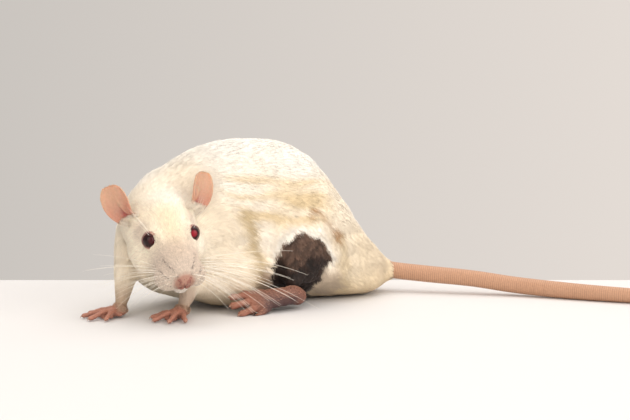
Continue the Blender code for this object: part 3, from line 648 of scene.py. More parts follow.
# A darker pink painted as shade in the grooves of the mouth's line and of the cleft.
for line in mouth_lines + [cleft]:
    skin_colours = blended_in(skin_colours, PINK * 0.45, line_nearness(points, line, 0.0005))
skin_colours = blended_in(skin_colours, PINK, fading(eye_gap, 0.0042, 0.0052))
colour_points(skin.data, skin_colours)
hide_material = tinted("hide", 0.7, 0.15, 0.0012, 0.4)
skin.data.materials.clear()
skin.data.materials.append(hide_material)
skin.data.shade_smooth()
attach(skin, "root")
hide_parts(*FLESH)

# The lie of the coat: at each point of the skin the way its hair points, back from the nose,
# along the body to the tail, down the flanks and legs, and away from the eyes. It is set from
# the share that each flesh solid has there, and evened out until it flows.
forward, left, up = (np.array(head_axes.col[i]) for i in range(3))
normals = read_normals(skin.data)
side_of_head = np.sign(head_points[:, 1])[:, None]
under_head = bounded(-head_points[:, 2], -0.004, 0.010)[:, None]
head_lie = -forward + 0.25 * side_of_head * left - 0.25 * up * under_head
facing_away = np.abs(normals[:, 0])[:, None]
tailward = np.array((1.0, -0.05, 0.0))
downward = np.array((0.0, 0.0, -1.0))
flank = 1 - np.abs(normals[:, 2])[:, None]
torso_lie = tailward + downward * (0.10 + 0.45 * flank + 0.55 * facing_away)
neck_lie = unit(0.55 * -forward + 0.75 * tailward) + downward * 0.15
foreleg_lie, hindleg_lie = np.array((-0.30, -0.05, -1.0)), np.array((0.35, 0.0, -0.90))
lies = (head_lie, neck_lie, torso_lie, foreleg_lie, foreleg_lie, hindleg_lie, hindleg_lie)
LIE_WEIGHTS = (1.0, 1.0, 1.0, 3.0, 3.0, 1.5, 1.5)
lie = np.zeros((len(points), 3))
for column, (direction, weight) in enumerate(zip(lies, LIE_WEIGHTS)):
    lie += membership[:, [column]] * unit(direction) * weight
at_shoulder = np.linalg.norm(points - np.array(drawn(-0.088, 0.036, 0.034)), axis=1)
lie = lie + 1.6 * downward * fading(at_shoulder, 0.010, 0.034)[:, None]
at_tail = bounded(points[:, 0] - drawing_origin.x, 0.046, 0.060)[:, None]
lie = lie * (1 - at_tail) + np.array((0.78, -0.60, -0.14)) * at_tail
for side in (1, -1):
    offset = points - eye_middle(side)
    share = fading(np.linalg.norm(offset, axis=1), 0.0045, 0.0095)
    lie = lie + 1.6 * unit(offset) * share[:, None]
for _ in range(12):
    lie = evened(lie, links, 14)
    lie = unit(lie - normals * np.sum(lie * normals, axis=1, keepdims=True))

HAIR_LENGTH = (0.0036, 0.0078, 0.0092, 0.0046, 0.0046, 0.0066, 0.0066)
hair_length = membership @ np.array(HAIR_LENGTH)
face_length = 0.0011 + 0.0038 * bounded(-head_points[:, 0], 0.004, 0.046)
hair_length = hair_length * (1 - headness) + face_length * headness
hair_length *= 1 - 0.6 * legness * fading(points[:, 2], 0.006, 0.022)
hair_length *= 0.30 + 0.70 * bounded(eye_gap, 0.0044, 0.0085)
hair_length *= 1 - 0.66 * patch_share
hair_length *= 1 - 0.5 * at_root
hair_length *= 1 - 0.55 * at_tail[:, 0]
hair_length = evened(hair_length, links, 15)

# Coat: short, dense hair in eleven pieces, each of nine to thirty thousand solid tufts with
# flat, tapering points that lie over one another. A tuft is rooted under the skin, bends over
# to follow it at the coat's depth, and leans to the middle of its lock.
triangles = np.empty(len(skin.data.polygons) * 3, dtype=np.int64)
skin.data.polygons.foreach_get("vertices", triangles)
triangles = triangles.reshape(-1, 3)
edge_one = points[triangles[:, 1]] - points[triangles[:, 0]]
edge_two = points[triangles[:, 2]] - points[triangles[:, 0]]
areas = np.linalg.norm(np.cross(edge_one, edge_two), axis=1) / 2
surface = BVHTree.FromPolygons(points.tolist(), triangles.tolist())
normals = read_normals(skin.data)
FLOOR_CLEARANCE = 0.0002


def on_coat(places, share):
    """Places moved to a share of the coat's depth over the skin, and the skin's normals there."""
    spots, indices = zip(*((hit[0], hit[2]) for hit in map(surface.find_nearest, places)))
    spots, indices = np.array(spots), triangles[np.array(indices)]
    out = unit(normals[indices].mean(axis=1))
    depth = coat_depth[indices].mean(axis=1)
    return spots + out * (depth * share)[:, None], out


def mesh_of(name, places, faces):
    """A mesh object from arrays of points and of triangles."""
    mesh = bpy.data.meshes.new(name)
    mesh.vertices.add(len(places))
    mesh.vertices.foreach_set("co", places.ravel())
    mesh.loops.add(faces.size)
    mesh.loops.foreach_set("vertex_index", faces.ravel())
    mesh.polygons.add(len(faces))
    mesh.polygons.foreach_set("loop_start", np.arange(0, faces.size, 3))
    mesh.update(calc_edges=True)
    mesh.shade_smooth()
    piece = bpy.data.objects.new(name, mesh)
    bpy.context.scene.collection.objects.link(piece)
    return piece


def unwrapped(places, start, along, top):
    """Each place's turn round an axis and way along it, both from 0 to 1 over the places."""
    along = unit(np.array(along))
    across = unit(np.cross(along, np.array(top)))
    rise = np.cross(across, along)
    offset = places - np.array(start)
    turn = np.arctan2(offset @ across, offset @ rise)
    flat = np.c_[turn, offset @ along]
    low, high = flat.min(axis=0), flat.max(axis=0)
    return 0.004 + 0.992 * (flat - low) / (high - low)


# A tuft is a bent, closed sliver: its root, its left, right and top in the middle, and its tip.
TUFT_FACES = np.array(((0, 2, 1), (1, 2, 4), (0, 1, 3), (0, 3, 2), (1, 4, 3), (2, 3, 4)))
TUFT_PATCH = np.array(((0, -1), (-1, 0), (1, 0), (0, 0.1), (0, 1))) * 0.0014
# A tuft is darkest at its root, as painted shade deep in the coat, and its patch on the
# unwrapped skin is a small kite.
TUFT_SHADES = (0.84, 0.97, 0.97, 1.0, 1.03)
ROOT_DEPTH, RIDGE = 0.0004, 0.32
# Fine hair lets light through, so a tuft shades mostly as the coat that it lies in does.
OWN_SHADING, SKIN_SHADING = 0.28, 0.72


def picked(draws, count, corners, shares):
    """The corners of the triangle that each tuft grows from, spread evenly over the shares."""
    total = np.cumsum(shares)
    pick = np.searchsorted(total, (np.arange(count) + draws.random(count)) / count * total[-1])
    return corners[np.minimum(pick, len(corners) - 1)]


def tuft_piece(name, ring, colours, patches, shading=None):
    """A piece of the coat from each tuft's five points, their colours and its patch for baking."""
    ring[:, :, 2] = np.maximum(ring[:, :, 2], FLOOR_CLEARANCE)
    faces = ((np.arange(len(ring)) * 5)[:, None, None] + TUFT_FACES[None]).reshape(-1, 3)
    piece = mesh_of(name, ring.reshape(-1, 3), faces)
    if shading is not None:
        shading = unit(OWN_SHADING * read_normals(piece.data) + SKIN_SHADING * shading)
        piece.data.normals_split_custom_set_from_vertices(shading.tolist())
    colour_points(piece.data, colours)
    spot = (patches[:, None] + TUFT_PATCH[None]).reshape(-1, 2)
    layer = piece.data.uv_layers.new(name="OFBake")
    layer.uv.foreach_set("vector", spot[faces.ravel()].astype(np.float32).ravel())
    piece.data.materials.append(hair_material)
    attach(piece, "root")


def grow(name, where, count, width, axis, seed, lock_size=0.0019, contrast=1.0):
    """One piece of the coat: this many tufts where the given share of the skin's points allows."""
    draws = np.random.default_rng(seed)
    pick = picked(draws, count, triangles, areas * where[triangles].mean(axis=1))
    a, b = draws.random(count), draws.random(count)
    over = a + b > 1
    a[over], b[over] = 1 - a[over], 1 - b[over]
    weights = np.c_[1 - a - b, a, b]

    def read(field):
        return np.einsum("ij,ij...->i...", weights, field[pick])

    root, out, length = read(points), unit(read(normals)), read(hair_length)
    way = unit(read(lie))
    lock, number = cell_values(root, lock_size, seed=2)
    sideways = np.cross(out, way)
    angle = 0.10 * waves(root, 0.020, 8) + (number[:, 0] - 0.5) * 0.10
    angle += draws.normal(0.0, 0.045, count)
    way = way * np.cos(angle)[:, None] + sideways * np.sin(angle)[:, None]
    length = length * (0.92 + 0.14 * number[:, 1]) * draws.uniform(0.8, 1.15, count)
    to_lock = lock - root
    to_lock -= out * np.sum(to_lock * out, axis=1, keepdims=True)
    bend = root + way * (length * 0.45)[:, None] + to_lock * 0.10
    height = 0.66 + 0.06 * waves(root, 0.014, 9) + 0.06 * number[:, 2]
    height *= draws.uniform(0.90, 1.05, count)
    aimed = bend
    bend, bend_out = on_coat(bend, height)
    kept = np.linalg.norm(bend - aimed, axis=1) < 0.30 * length + 0.0030
    onward = unit(bend - root)
    onward -= bend_out * np.sum(onward * bend_out, axis=1, keepdims=True)
    tip = bend + unit(onward) * (length * 0.55)[:, None] + to_lock * 0.20
    aimed = tip
    tip, tip_out = on_coat(tip, height * draws.uniform(1.02, 1.30, count))
    kept &= np.linalg.norm(tip - aimed, axis=1) < 0.35 * length + 0.0030

    wide = width * draws.uniform(0.75, 1.25, count)
    half = unit(np.cross(out, unit(tip - root))) * (wide / 2)[:, None]
    top = bend + out * (wide * RIDGE)[:, None]
    ring = np.stack((root - out * ROOT_DEPTH, bend - half, bend + half, top, tip), axis=1)
    shading = np.stack((out, bend_out, bend_out, bend_out, tip_out), axis=1)
    tone = 0.05 * (number[:, [1]] - 0.5) + draws.normal(0.0, 0.025, (count, 1))
    colours = np.clip(coat_colours(root) * (1 + contrast * tone), 0.0, 0.98)
    colours = np.clip(colours[:, None] * np.array(TUFT_SHADES)[None, :, None], 0, 1)
    patches = unwrapped(root, *axis)
    kept_shading, kept_colours = shading[kept].reshape(-1, 3), colours[kept].reshape(-1, 3)
    tuft_piece(name, ring[kept], kept_colours, patches[kept], kept_shading)


hair_material = tinted("hair", 0.55, 0.08, 0.0008, 0.0, Sheen_Weight=0.10, Specular_IOR_Level=0.25)

nose_gap = np.linalg.norm(head_points - np.array((-0.0012, 0.0, -0.0015)), axis=1)
haired = bounded(nose_gap, 0.0042, 0.0060)
for line in mouth_lines:
    haired = haired * bounded(distance_to_line(points, line), 0.0003, 0.0008)
haired = haired * bounded(eye_gap, 0.0042, 0.0046)
face_share = headness * bounded(head_points[:, 0], -0.027, -0.025) * haired
crown_share = headness * bounded(-head_points[:, 0], 0.025, 0.027) * haired
torso_share = membership[:, 2] * fading(at_root, 0.35, 0.90)
left_side = (points[:, 1] < 0.066) * 1.0
front_part = bounded(-points[:, 0], 0.046, 0.047)
head_axis = (head_frame.translation, forward, up)
neck_axis = (drawn(-0.062, 0.042, 0.048), (-0.8, -0.5, 0.1), UP)
spine_axis = (drawn(-0.02, 0.036, 0.040), (1.0, 0.0, 0.0), UP)
grow("coat_face", face_share, 30000, 0.00026, head_axis, 11, 0.0011, 3.0)
grow("coat_crown", crown_share, 26000, 0.00032, head_axis, 12, 0.0015, 2.6)
grow("coat_neck", membership[:, 1], 24000, 0.00036, neck_axis, 13)
# Left and right counts of tufts, and each limb's middle, leg solid, tuft width and first seed.
TUFT_COUNTS = {"body": (30000, 21500), "haunch": (22000, 16000), "foreleg": (9000, 9000)}
LIMB_MIDDLES = {
    "haunch": ((0.0, 0.008, 0.02), (0.0, 0.062, 0.02)),
    "foreleg": ((-0.065, 0.016, 0.016), (-0.089, 0.041, 0.016)),
}
LIMBS = (("haunch", "hindleg_", 0.00032, 20), ("foreleg", "foreleg_", 0.00026, 30))
upright = ((0.0, 0.0, 1.0), (1.0, 0.0, 0.0))
for number, (side_name, on_side) in enumerate((("left", left_side), ("right", 1 - left_side))):
    for end, (end_name, at_end) in enumerate((("shoulder", front_part), ("loin", 1 - front_part))):
        name = "coat_%s_%s" % (end_name, side_name)
        share = torso_share * on_side * at_end
        grow(name, share, TUFT_COUNTS["body"][number], 0.00038, spine_axis, 14 + 2 * number + end)
for number, side_name in enumerate(("left", "right")):
    for limb, leg, width, seed in LIMBS:
        share = membership[:, FLESH.index(leg + side_name)]
        if limb == "haunch":
            share = share * (1 - 0.85 * patch_share) * (1 - at_root)
        axis = (drawn(*LIMB_MIDDLES[limb][number]), *upright)
        name = "coat_%s_%s" % (limb, side_name)
        grow(name, share, TUFT_COUNTS[limb][number], width, axis, seed + number)

# Eyes: two moist, glossy balls of a very dark red, in which the left one glows ruby on the
# side towards the nose, where the light comes back out of it. Each is held in a soft ring of
# bare lid, dark at its edge, that lies on the ball.
DEEP_RED = np.array((0.014, 0.001, 0.002))
RUBY = np.array((0.42, 0.006, 0.022))
EDGE_RED = 0.05
GLOW_TURN = math.radians(25.0)
GLOW = {"left": 0.62, "right": 0.08}
CORNEA_BULGE, CORNEA_ANGLE = 0.035, 48.0
LID_SKIN = np.array((0.55, 0.30, 0.26))
LID_STEPS, LID_SIDES = 72, 14


def eye_frame(side):
    """A frame at the middle of the ball whose Z looks out along the eye's axis."""
    outward = mirrored(EYE_AXIS, side)
    across = outward.cross(UP).normalized()
    result = Matrix((across, outward.cross(across), outward)).transposed().to_4x4()
    result.translation = mirrored(EYE_PLACE, side)
    return head_frame @ result


def side_faces(body, rings):
    """The faces between rings of points, each ring joined to the next."""
    for near, far in zip(rings, rings[1:]):
        for index in range(len(near)):
            following = (index + 1) % len(near)
            body.faces.new((near[index], near[following], far[following], far[index]))


def finished(piece, material):
    piece.data.materials.clear()
    piece.data.materials.append(material)
    piece.data.shade_smooth()
    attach(piece, "root")


gloss = {"Specular_IOR_Level": 0.15, "Coat_Weight": 0.30, "Coat_Roughness": 0.03}
eye_material = tinted("eye_glass", 0.12, 0.10, 0.0005, 0.0, **gloss)
lid_material = tinted("lid_skin", 0.42, 0.12, 0.0004, 0.5)
for side, name in ((1, "left"), (-1, "right")):
    body = bmesh.new()
    ball_in(body, Vector(), (EYE_RADIUS,) * 3, segments=64, rings=40)
    places = np.array([vert.co for vert in body.verts])
    polar = np.degrees(np.arccos(np.clip(places[:, 2] / EYE_RADIUS, -1, 1)))
    for vert, angle in zip(body.verts, polar):
        vert.co *= 1 + CORNEA_BULGE * max(0.0, 1 - (angle / CORNEA_ANGLE) ** 2)
    bmesh.ops.transform(body, matrix=eye_frame(side), verts=body.verts)
    eyeball = as_object("eyeball_" + name, body)
    toward_nose = unit(np.array((side * math.sin(GLOW_TURN), -0.16, math.cos(GLOW_TURN))))
    off_glow = np.degrees(np.arccos(np.clip(unit(places) @ toward_nose, -1, 1)))
    glow = fading(off_glow, 12.0, 34.0)
    tone = EDGE_RED * bounded(polar, 30.0, 50.0) + glow * GLOW[name]
    colour_points(eyeball.data, mixed(DEEP_RED, RUBY, tone))
    finished(eyeball, eye_material)
    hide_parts("eye_" + name)

    body = bmesh.new()
    rings, shades = [], []
    for step in range(LID_STEPS):
        around = 2 * math.pi * step / LID_STEPS
        top = max(0.0, -math.sin(around))
        opening = math.radians(LID_ANGLE - 4 + 7 * abs(math.sin(around)) + 5 * top**4)
        outward = Vector((math.cos(around), math.sin(around), 0.0))
        ring = []
        for turn_step in range(LID_SIDES):
            turn = 2 * math.pi * turn_step / LID_SIDES
            polar = opening + (0.19 + 0.19 * math.cos(turn))
            thick = 0.00042 if math.sin(turn) > 0 else 0.00021
            reach = EYE_RADIUS + 0.00005 + thick * math.sin(turn)
            ring.append(outward * (reach * math.sin(polar)) + UP * (reach * math.cos(polar)))
            shades.append(0.5 - 0.5 * math.cos(turn))
        rings.append([body.verts.new(eye_frame(side) @ place) for place in ring])
    side_faces(body, rings + rings[:1])
    bmesh.ops.recalc_face_normals(body, faces=body.faces)
    lids = as_object("lids_" + name, body)
    shades = np.array(shades)[:, None]
    colour_points(lids.data, LID_SKIN * (0.35 * shades + 1.0 * (1 - shades)))
    finished(lids, lid_material)

# Ears: two thin, upright cups of bare skin over gristle that let light through, each with a
# rolled rim, a ridge and a notch at the bottom of the cup. Each is swept up from its root
# through these rows in the head's frame: the middle's x, y and z, the width and the depth.
EAR = (
    (-0.0405, 0.0115, 0.0084, 0.0070, 0.0024),
    (-0.0408, 0.0153, 0.0098, 0.0078, 0.0026),
    (-0.0415, 0.0184, 0.0120, 0.0100, 0.0034),
    (-0.0430, 0.0206, 0.0148, 0.0126, 0.0036),
    (-0.0453, 0.0220, 0.0177, 0.0138, 0.0031),
    (-0.0480, 0.0230, 0.0207, 0.0130, 0.0023),
    (-0.0501, 0.0235, 0.0229, 0.0102, 0.0014),
    (-0.0512, 0.0237, 0.0241, 0.0064, 0.0009),
    (-0.0515, 0.0238, 0.0245, 0.0026, 0.0004),
)
EAR_SKIN = np.array((0.56, 0.37, 0.25))
EAR_DEEP = np.array((0.42, 0.15, 0.12))
EAR_ROWS, EAR_COLUMNS = 44, 31


def blended(rows, count):
    """Rows read at even steps from a smooth curve through the given rows."""
    rows = np.array(rows, dtype=float)
    place = np.linspace(0, len(rows) - 1, count)
    index = np.minimum(place.astype(int), len(rows) - 2)
    t = (place - index)[:, None]
    a, b = rows[np.maximum(index - 1, 0)], rows[index]
    c, d = rows[index + 1], rows[np.minimum(index + 2, len(rows) - 1)]
    bend = (2 * a - 5 * b + 4 * c - d) * t**2
    twist = (3 * b - a - 3 * c + d) * t**3
    return 0.5 * (2 * b + (c - a) * t + bend + twist)


def hump(value, middle, width):
    return math.exp(-(((value - middle) / width) ** 2))


glow = {"Subsurface_Weight": 0.5, "Subsurface_Radius": (0.0030, 0.0012, 0.0008)}
ear_material = tinted("ear_skin", 0.5, 0.16, 0.0011, 0.5, Subsurface_Scale=1.0, **glow)
ear_rows = blended(EAR, EAR_ROWS)
for side, name in ((1, "left"), (-1, "right")):
    places, tints = [], []
    centres = [mirrored(row[:3], side) for row in ear_rows]
    for index, (centre, row) in enumerate(zip(centres, ear_rows)):
        travel = (centres[min(index + 1, EAR_ROWS - 1)] - centres[max(index - 1, 0)]).normalized()
        facing = mirrored(Vector((0.90, 0.38, 0.10)), side)
        facing = (facing - travel * facing.dot(travel)).normalized()
        across = travel.cross(facing).normalized() * side
        u = index / (EAR_ROWS - 1)
        half, depth = row[3] / 2, row[4]
        back, front, back_tints, front_tints = [], [], [], []
        for column in range(EAR_COLUMNS):
            v = 2 * column / (EAR_COLUMNS - 1) - 1
            bow = 1 - abs(v) ** 2.2
            rim = max(0.0, abs(v) - 0.80) / 0.20
            tip_rim = max(0.0, u - 0.93) / 0.07
            curl = 0.0004 * max(rim, tip_rim) ** 2
            ridge = hump(v, 0.4 * u - 0.30, 0.15) * hump(u, 0.36, 0.18)
            notch = hump(v, 0.40, 0.18) * hump(u, 0.28, 0.12)
            pit = hump(v, 0.05, 0.30) * hump(u, 0.22, 0.12)
            wall = 0.00055 + 0.00035 * bow + 0.0002 * max(rim, tip_rim)
            behind = -depth * bow + curl
            ahead = behind + wall + 0.0011 * ridge + 0.0009 * notch - 0.0003 * pit
            back.append(centre + across * half * v + facing * behind)
            front.append(centre + across * half * v * 0.97 + facing * ahead)
            # Painted shade: the cup darker low down and deepest in its pit, and lighter on its
            # ridge.
            front_tints.append(min(1.0, 0.9 * pit + 0.45 * hump(u, 0.30, 0.22) - 0.3 * ridge))
            back_tints.append(0.15)
        places += [head_frame @ place for place in back + front[::-1]]
        tints += back_tints + front_tints[::-1]
    around = 2 * EAR_COLUMNS
    body = bmesh.new()
    verts = [body.verts.new(place) for place in places]
    rings = [verts[index * around:(index + 1) * around] for index in range(EAR_ROWS)]
    side_faces(body, rings)
    for ring in (rings[0], rings[-1]):
        for column in range(EAR_COLUMNS - 1):
            far = around - 1 - column
            body.faces.new([ring[i] for i in (column, column + 1, far - 1, far)])
    bmesh.ops.recalc_face_normals(body, faces=body.faces)
    ear = as_object("earflap_" + name, body)
    colour_points(ear.data, mixed(EAR_SKIN, EAR_DEEP, np.array(tints)))
    finished(ear, ear_material)
    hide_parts("ear_" + name)

# Nose: a bare, moist, finely pebbled pad of skin with a cleft down the middle and a
# comma-shaped nostril on each side, fused from soft balls and set over the muzzle's end.
def circle_at(centre, across, rise, radius, sides):
    turns = [2 * math.pi * step / sides for step in range(sides)]
    return [centre + (across * math.cos(turn) + rise * math.sin(turn)) * radius for turn in turns]


def close_tube(body, rings):
    side_faces(body, rings)
    body.faces.new(rings[0][::-1])
    body.faces.new(rings[-1])


def tube_in(body, places, radii, sides):
    """A closed tube through the places, into a mesh that is being made."""
    rings = []
    for index, (place, radius) in enumerate(zip(places, radii)):
        travel = (places[min(index + 1, len(places) - 1)] - places[max(index - 1, 0)]).normalized()
        across = before - travel * before.dot(travel) if rings else travel.orthogonal()
        across = before = across.normalized()
        ring = circle_at(place, across, travel.cross(across), radius, sides)
        rings.append([body.verts.new(point) for point in ring])
    close_tube(body, rings)


NOSE_SKIN = np.array((0.27, 0.11, 0.08))
NOSTRIL_DARK = np.array((0.05, 0.015, 0.012))
NOSTRIL = ((0.0036, -0.0010), (0.0040, -0.0024), (0.0036, -0.0037), (0.0026, -0.0042))
NOSE_VOXEL, CLEFT_DENT, NOSTRIL_DEPTH = 0.00018, 0.0004, 0.0011
body = bmesh.new()
ball_in(body, (-0.0022, 0.0, -0.0012), (0.0028, 0.0030, 0.0034), head_frame)
for side in (1, -1):
    ball_in(body, (-0.0024, 0.0021 * side, -0.0010), (0.0026, 0.0019, 0.0026), head_frame)
    ball_in(body, (-0.0032, 0.0012 * side, -0.0044), (0.0027, 0.0024, 0.0024), head_frame)
nose = as_object("nose", body)
fused(nose, NOSE_VOXEL)
nose_links = neighbours(nose.data)
nose_points = evened(read_points(nose.data), nose_links, 6)
write_points(nose.data, nose_points)
local = in_head(nose_points)
dent = CLEFT_DENT * np.exp(-((local[:, 1] / 0.00032) ** 2)) * fading(local[:, 2], 0.0004, 0.0014)
hollow = np.zeros(len(local))
for side in (1, -1):
    comma = [Vector((0.0, side * y, z)) for y, z in NOSTRIL]
    flat = local * np.array((0.0, 1.0, 1.0))
    hollow = np.maximum(hollow, line_nearness(flat, comma, 0.00062))
hollow *= local[:, 0] > -0.0032
pebble = 0.00005 * waves(local, 0.0009, 31)
sunk = dent + NOSTRIL_DEPTH * hollow - pebble
nose_points = nose_points - read_normals(nose.data) * sunk[:, None]
write_points(nose.data, nose_points)
# The nostrils' hollows painted dark as the shade inside them.
tint = mixed(NOSE_SKIN, NOSTRIL_DARK, hollow * 1.1)
# The skin's own mottle, darker down the cleft as painted shade.
mottle_and_cleft_shade = 1 + 0.22 * waves(local, 0.0017, 32) - 0.45 * dent / CLEFT_DENT
colour_points(nose.data, tint * mottle_and_cleft_shade[:, None])
nose_material = tinted("nose_skin", 0.34, 0.14, 0.0005, 0.7)
finished(nose, nose_material)

# Paws: two hands of four fingers and two long feet of five toes, all of bare skin with
# knuckles, pads and fine creases, fused from balls and tubes, with a curved horn claw set on
# every digit. A digit has its root's x and y, its heading, reach and radius in the paw's frame.
HAND_DIGITS = (
    (0.0048, -0.0032, -46.0, 0.0096, 0.00118),
    (0.0062, -0.0014, -17.0, 0.0120, 0.00128),
    (0.0062, 0.0012, 12.0, 0.0118, 0.00128),
    (0.0048, 0.0031, 40.0, 0.0100, 0.00118),
)
HAND_PALM = (
    ((0.0004, 0.0, 0.0034), (0.0040, 0.0034, 0.0032)),
    ((0.0042, 0.0, 0.0028), (0.0050, 0.0046, 0.0027)),
    ((0.0018, -0.0036, 0.0018), (0.0018, 0.0013, 0.0012)),
)
FOOT_DIGITS = (
    (0.0190, -0.0046, -24.0, 0.0076, 0.00160),
    (0.0232, -0.0042, -11.0, 0.0104, 0.00180),
    (0.0246, -0.0006, -1.0, 0.0110, 0.00185),
    (0.0232, 0.0032, 10.0, 0.0104, 0.00180),
    (0.0190, 0.0050, 24.0, 0.0082, 0.00160),
)
FOOT_PALM = (
    ((-0.0012, 0.0, 0.0042), (0.0052, 0.0044, 0.0044)),
    ((0.0030, 0.0, 0.0058), (0.0072, 0.0046, 0.0052)),
    ((0.0074, -0.0002, 0.0050), (0.0080, 0.0047, 0.0048)),
    ((0.0130, -0.0004, 0.0044), (0.0092, 0.0052, 0.0045)),
    ((0.0200, -0.0006, 0.0036), (0.0080, 0.0066, 0.0038)),
)
HAND_SKIN = np.array((0.43, 0.185, 0.125))
# The feet's skin, darkened as painted shade where the feet lie in the body's shadow.
SHADED_FOOT_SKIN = np.array((0.19, 0.074, 0.047))
PAW_DARK = np.array((0.09, 0.035, 0.032))
CLAW_HORN = np.array((0.42, 0.24, 0.17))
FOOT_SHADE = np.array((0.055, 0.026, 0.028))
TOE_SKIN = np.array((0.33, 0.125, 0.075))
# Each kind of paw: its palm, digits, skin, voxel and claws' length.
PAW_KINDS = {
    "hand": (HAND_PALM, HAND_DIGITS, HAND_SKIN, 0.00028, 0.0022),
    "foot": (FOOT_PALM, FOOT_DIGITS, SHADED_FOOT_SKIN, 0.00034, 0.0030),
}
DIGIT_HEIGHTS = ((-0.0020, 0.0026), (0.30, 0.0032), (0.52, 0.0027), (0.76, 0.0019), (1.0, 0.0012))
# How thick a digit is along its length, as shares of its reach and of its radius.
DIGIT_PLACES = (0, 0.3, 0.42, 0.55, 0.68, 0.8, 1.0)
DIGIT_SHAPE = (1.15, 1.10, 0.92, 0.96, 0.90, 1.0, 0.92)
DIGIT_STEPS, DIGIT_SIDES, CLAW_SIDES = 13, 14, 8
CLAW_TIMES = np.linspace(-0.3, 1, 9)
CREASE_SPACING = 0.00042
paws = {}
paw_material = tinted("paw_skin", 0.45, 0.16, 0.0007, 0.8)
claw_material = tinted("claw_horn", 0.28, 0.10, 0.0006, 0.2)


def digit_line(root, along, reach):
    """The middle of a digit from inside the palm, over its knuckle, to its tip."""
    rows = []
    for step, height in DIGIT_HEIGHTS:
        rows.append(root + along * (step * reach if step > 0 else step) + UP * height)
    return [Vector(row) for row in blended(rows, DIGIT_STEPS)]


def paw(node, place, heading, roll, side, kind):
    palm, digits, colour, voxel, claw_length = PAW_KINDS[kind]
    placing = frame_at(drawn(*place), heading, 0.0, roll)
    placed_back = np.array(placing.inverted())
    body, claws = bmesh.new(), bmesh.new()
    for centre, radii in palm:
        ball_in(body, mirrored(centre, side), radii, placing)
    for x, y, heading, reach, radius in digits:
        turn = math.radians(heading * side)
        root = Vector((x, y * side, 0.0))
        along = Vector((math.cos(turn), math.sin(turn), 0.0))
        line = digit_line(root, along, reach)
        shape = np.interp(np.linspace(0, 1, DIGIT_STEPS), DIGIT_PLACES, DIGIT_SHAPE)
        sizes = [radius * size for size in shape]
        tube_in(body, [placing @ point for point in line], sizes, DIGIT_SIDES)
        tip = line[-1]
        pad = tip - along * 0.0003 + UP * 0.0002
        ball_in(body, pad, (radius * 1.12, radius * 1.08, radius * 0.98), placing, 14, 10)
        knuckle = root + along * reach * 0.34 + UP * 0.0014
        ball_in(body, knuckle, (radius * 1.1,) * 3, placing, 12, 8)
        base = tip + UP * radius * 0.45 - along * 0.0004
        curve, sizes = [], []
        for t in CLAW_TIMES:
            curve.append(base + along * claw_length * t + UP * (0.0004 * t - 0.0018 * t * t))
            sizes.append(radius * 0.40 * (1 - max(t, 0.0)) ** 0.7 + 0.00005)
        tube_in(claws, [placing @ point for point in curve], sizes, CLAW_SIDES)
    piece = as_object(node + "_skin", body)
    fused(piece, voxel)
    paw_links = neighbours(piece.data)
    places = evened(read_points(piece.data), paw_links, 9)
    write_points(piece.data, places)
    local = in_frame(places, placed_back)
    creases = np.sin(local[:, 0] / CREASE_SPACING + 1.5 * waves(local, 0.004, 41))
    creases *= bounded(local[:, 0], 0.004, 0.008)
    relief = 0.000020 * creases + 0.00006 * waves(local, 0.0016, 42)
    places = places + read_normals(piece.data) * relief[:, None]
    places[:, 2] = np.maximum(places[:, 2], 0.0)
    write_points(piece.data, places)
    # Painted shade: darker where the skin faces down, between and under the digits.
    underside_shade = evened(np.clip(-read_normals(piece.data)[:, 2] * 0.5 + 0.2, 0, 1), paw_links, 3)
    colours = mixed(colour, PAW_DARK, underside_shade * 0.6 + 0.12 * waves(local, 0.006, 43))
    if kind == "foot":
        # Painted shade on the low side of the foot, between the heel and the toes.
        low_side = fading(places[:, 2], 0.0050, 0.0130) * fading(local[:, 0], 0.0190, 0.0230)
        low_side *= bounded(local[:, 0], -0.0010, 0.0040)
        colours = blended_in(colours, FOOT_SHADE, 0.80 * low_side)
        # The toes in a lighter pink, less darkened by painted shade.
        toes = bounded(local[:, 0], 0.0235, 0.0275) * (1 - underside_shade)
        colours = blended_in(colours, TOE_SKIN, 0.85 * toes)
    colour_points(piece.data, colours)
    finished(piece, paw_material)
    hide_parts(node)
    paws[node] = (piece, placing, placed_back)
    bmesh.ops.recalc_face_normals(claws, faces=claws.faces)
    for vert in claws.verts:
        vert.co.z = max(vert.co.z, 0.0)
    horn = as_object(node + "_claws", claws)
    colour_points(horn.data, np.tile(CLAW_HORN, (len(horn.data.vertices), 1)))
    finished(horn, claw_material)


paw("forepaw_left", (-0.0740, 0.0098, 0.0), 208.0, 0.0, 1, "hand")
paw("forepaw_right", (-0.0975, 0.0305, 0.0), 174.0, 0.0, -1, "hand")
paw("hindfoot_left", (-0.0144, 0.0012, 0.0031), 180.0, -42.0, 1, "foot")
paw("hindfoot_right", (-0.0010, 0.0700, 0.0), 172.0, 0.0, -1, "foot")

# Tail: one long taper of bare, scaly skin with about two hundred shallow rings, thick where
# it leaves the rump and as thin as a straw at the tip. It is swept through these rows: the
# middle's place from the drawing origin, and the radius.
TAIL = (
    (0.0560, 0.0200, 0.0128, 0.0046),
    (0.0640, 0.0140, 0.0112, 0.0046),
    (0.0760, 0.0010, 0.0098, 0.0046),
    (0.0920, -0.0170, 0.0082, 0.0045),
    (0.1070, -0.0350, 0.0056, 0.0045),
    (0.1210, -0.0570, 0.0043, 0.0044),
    (0.1360, -0.0820, 0.0039, 0.0040),
    (0.1550, -0.1080, 0.0035, 0.0036),
    (0.1780, -0.1290, 0.0027, 0.0028),
    (0.2040, -0.1420, 0.0014, 0.0015),
)
TAIL_STEPS, TAIL_SIDES = 900, 28
RING_SPACING, RING_HEIGHT = 0.0011, 0.00012
TIP_STEPS = 14
TAIL_SKIN = np.array((0.55, 0.31, 0.19))
TAIL_GROOVE = np.array((0.28, 0.14, 0.085))
rows = blended(TAIL, TAIL_STEPS)
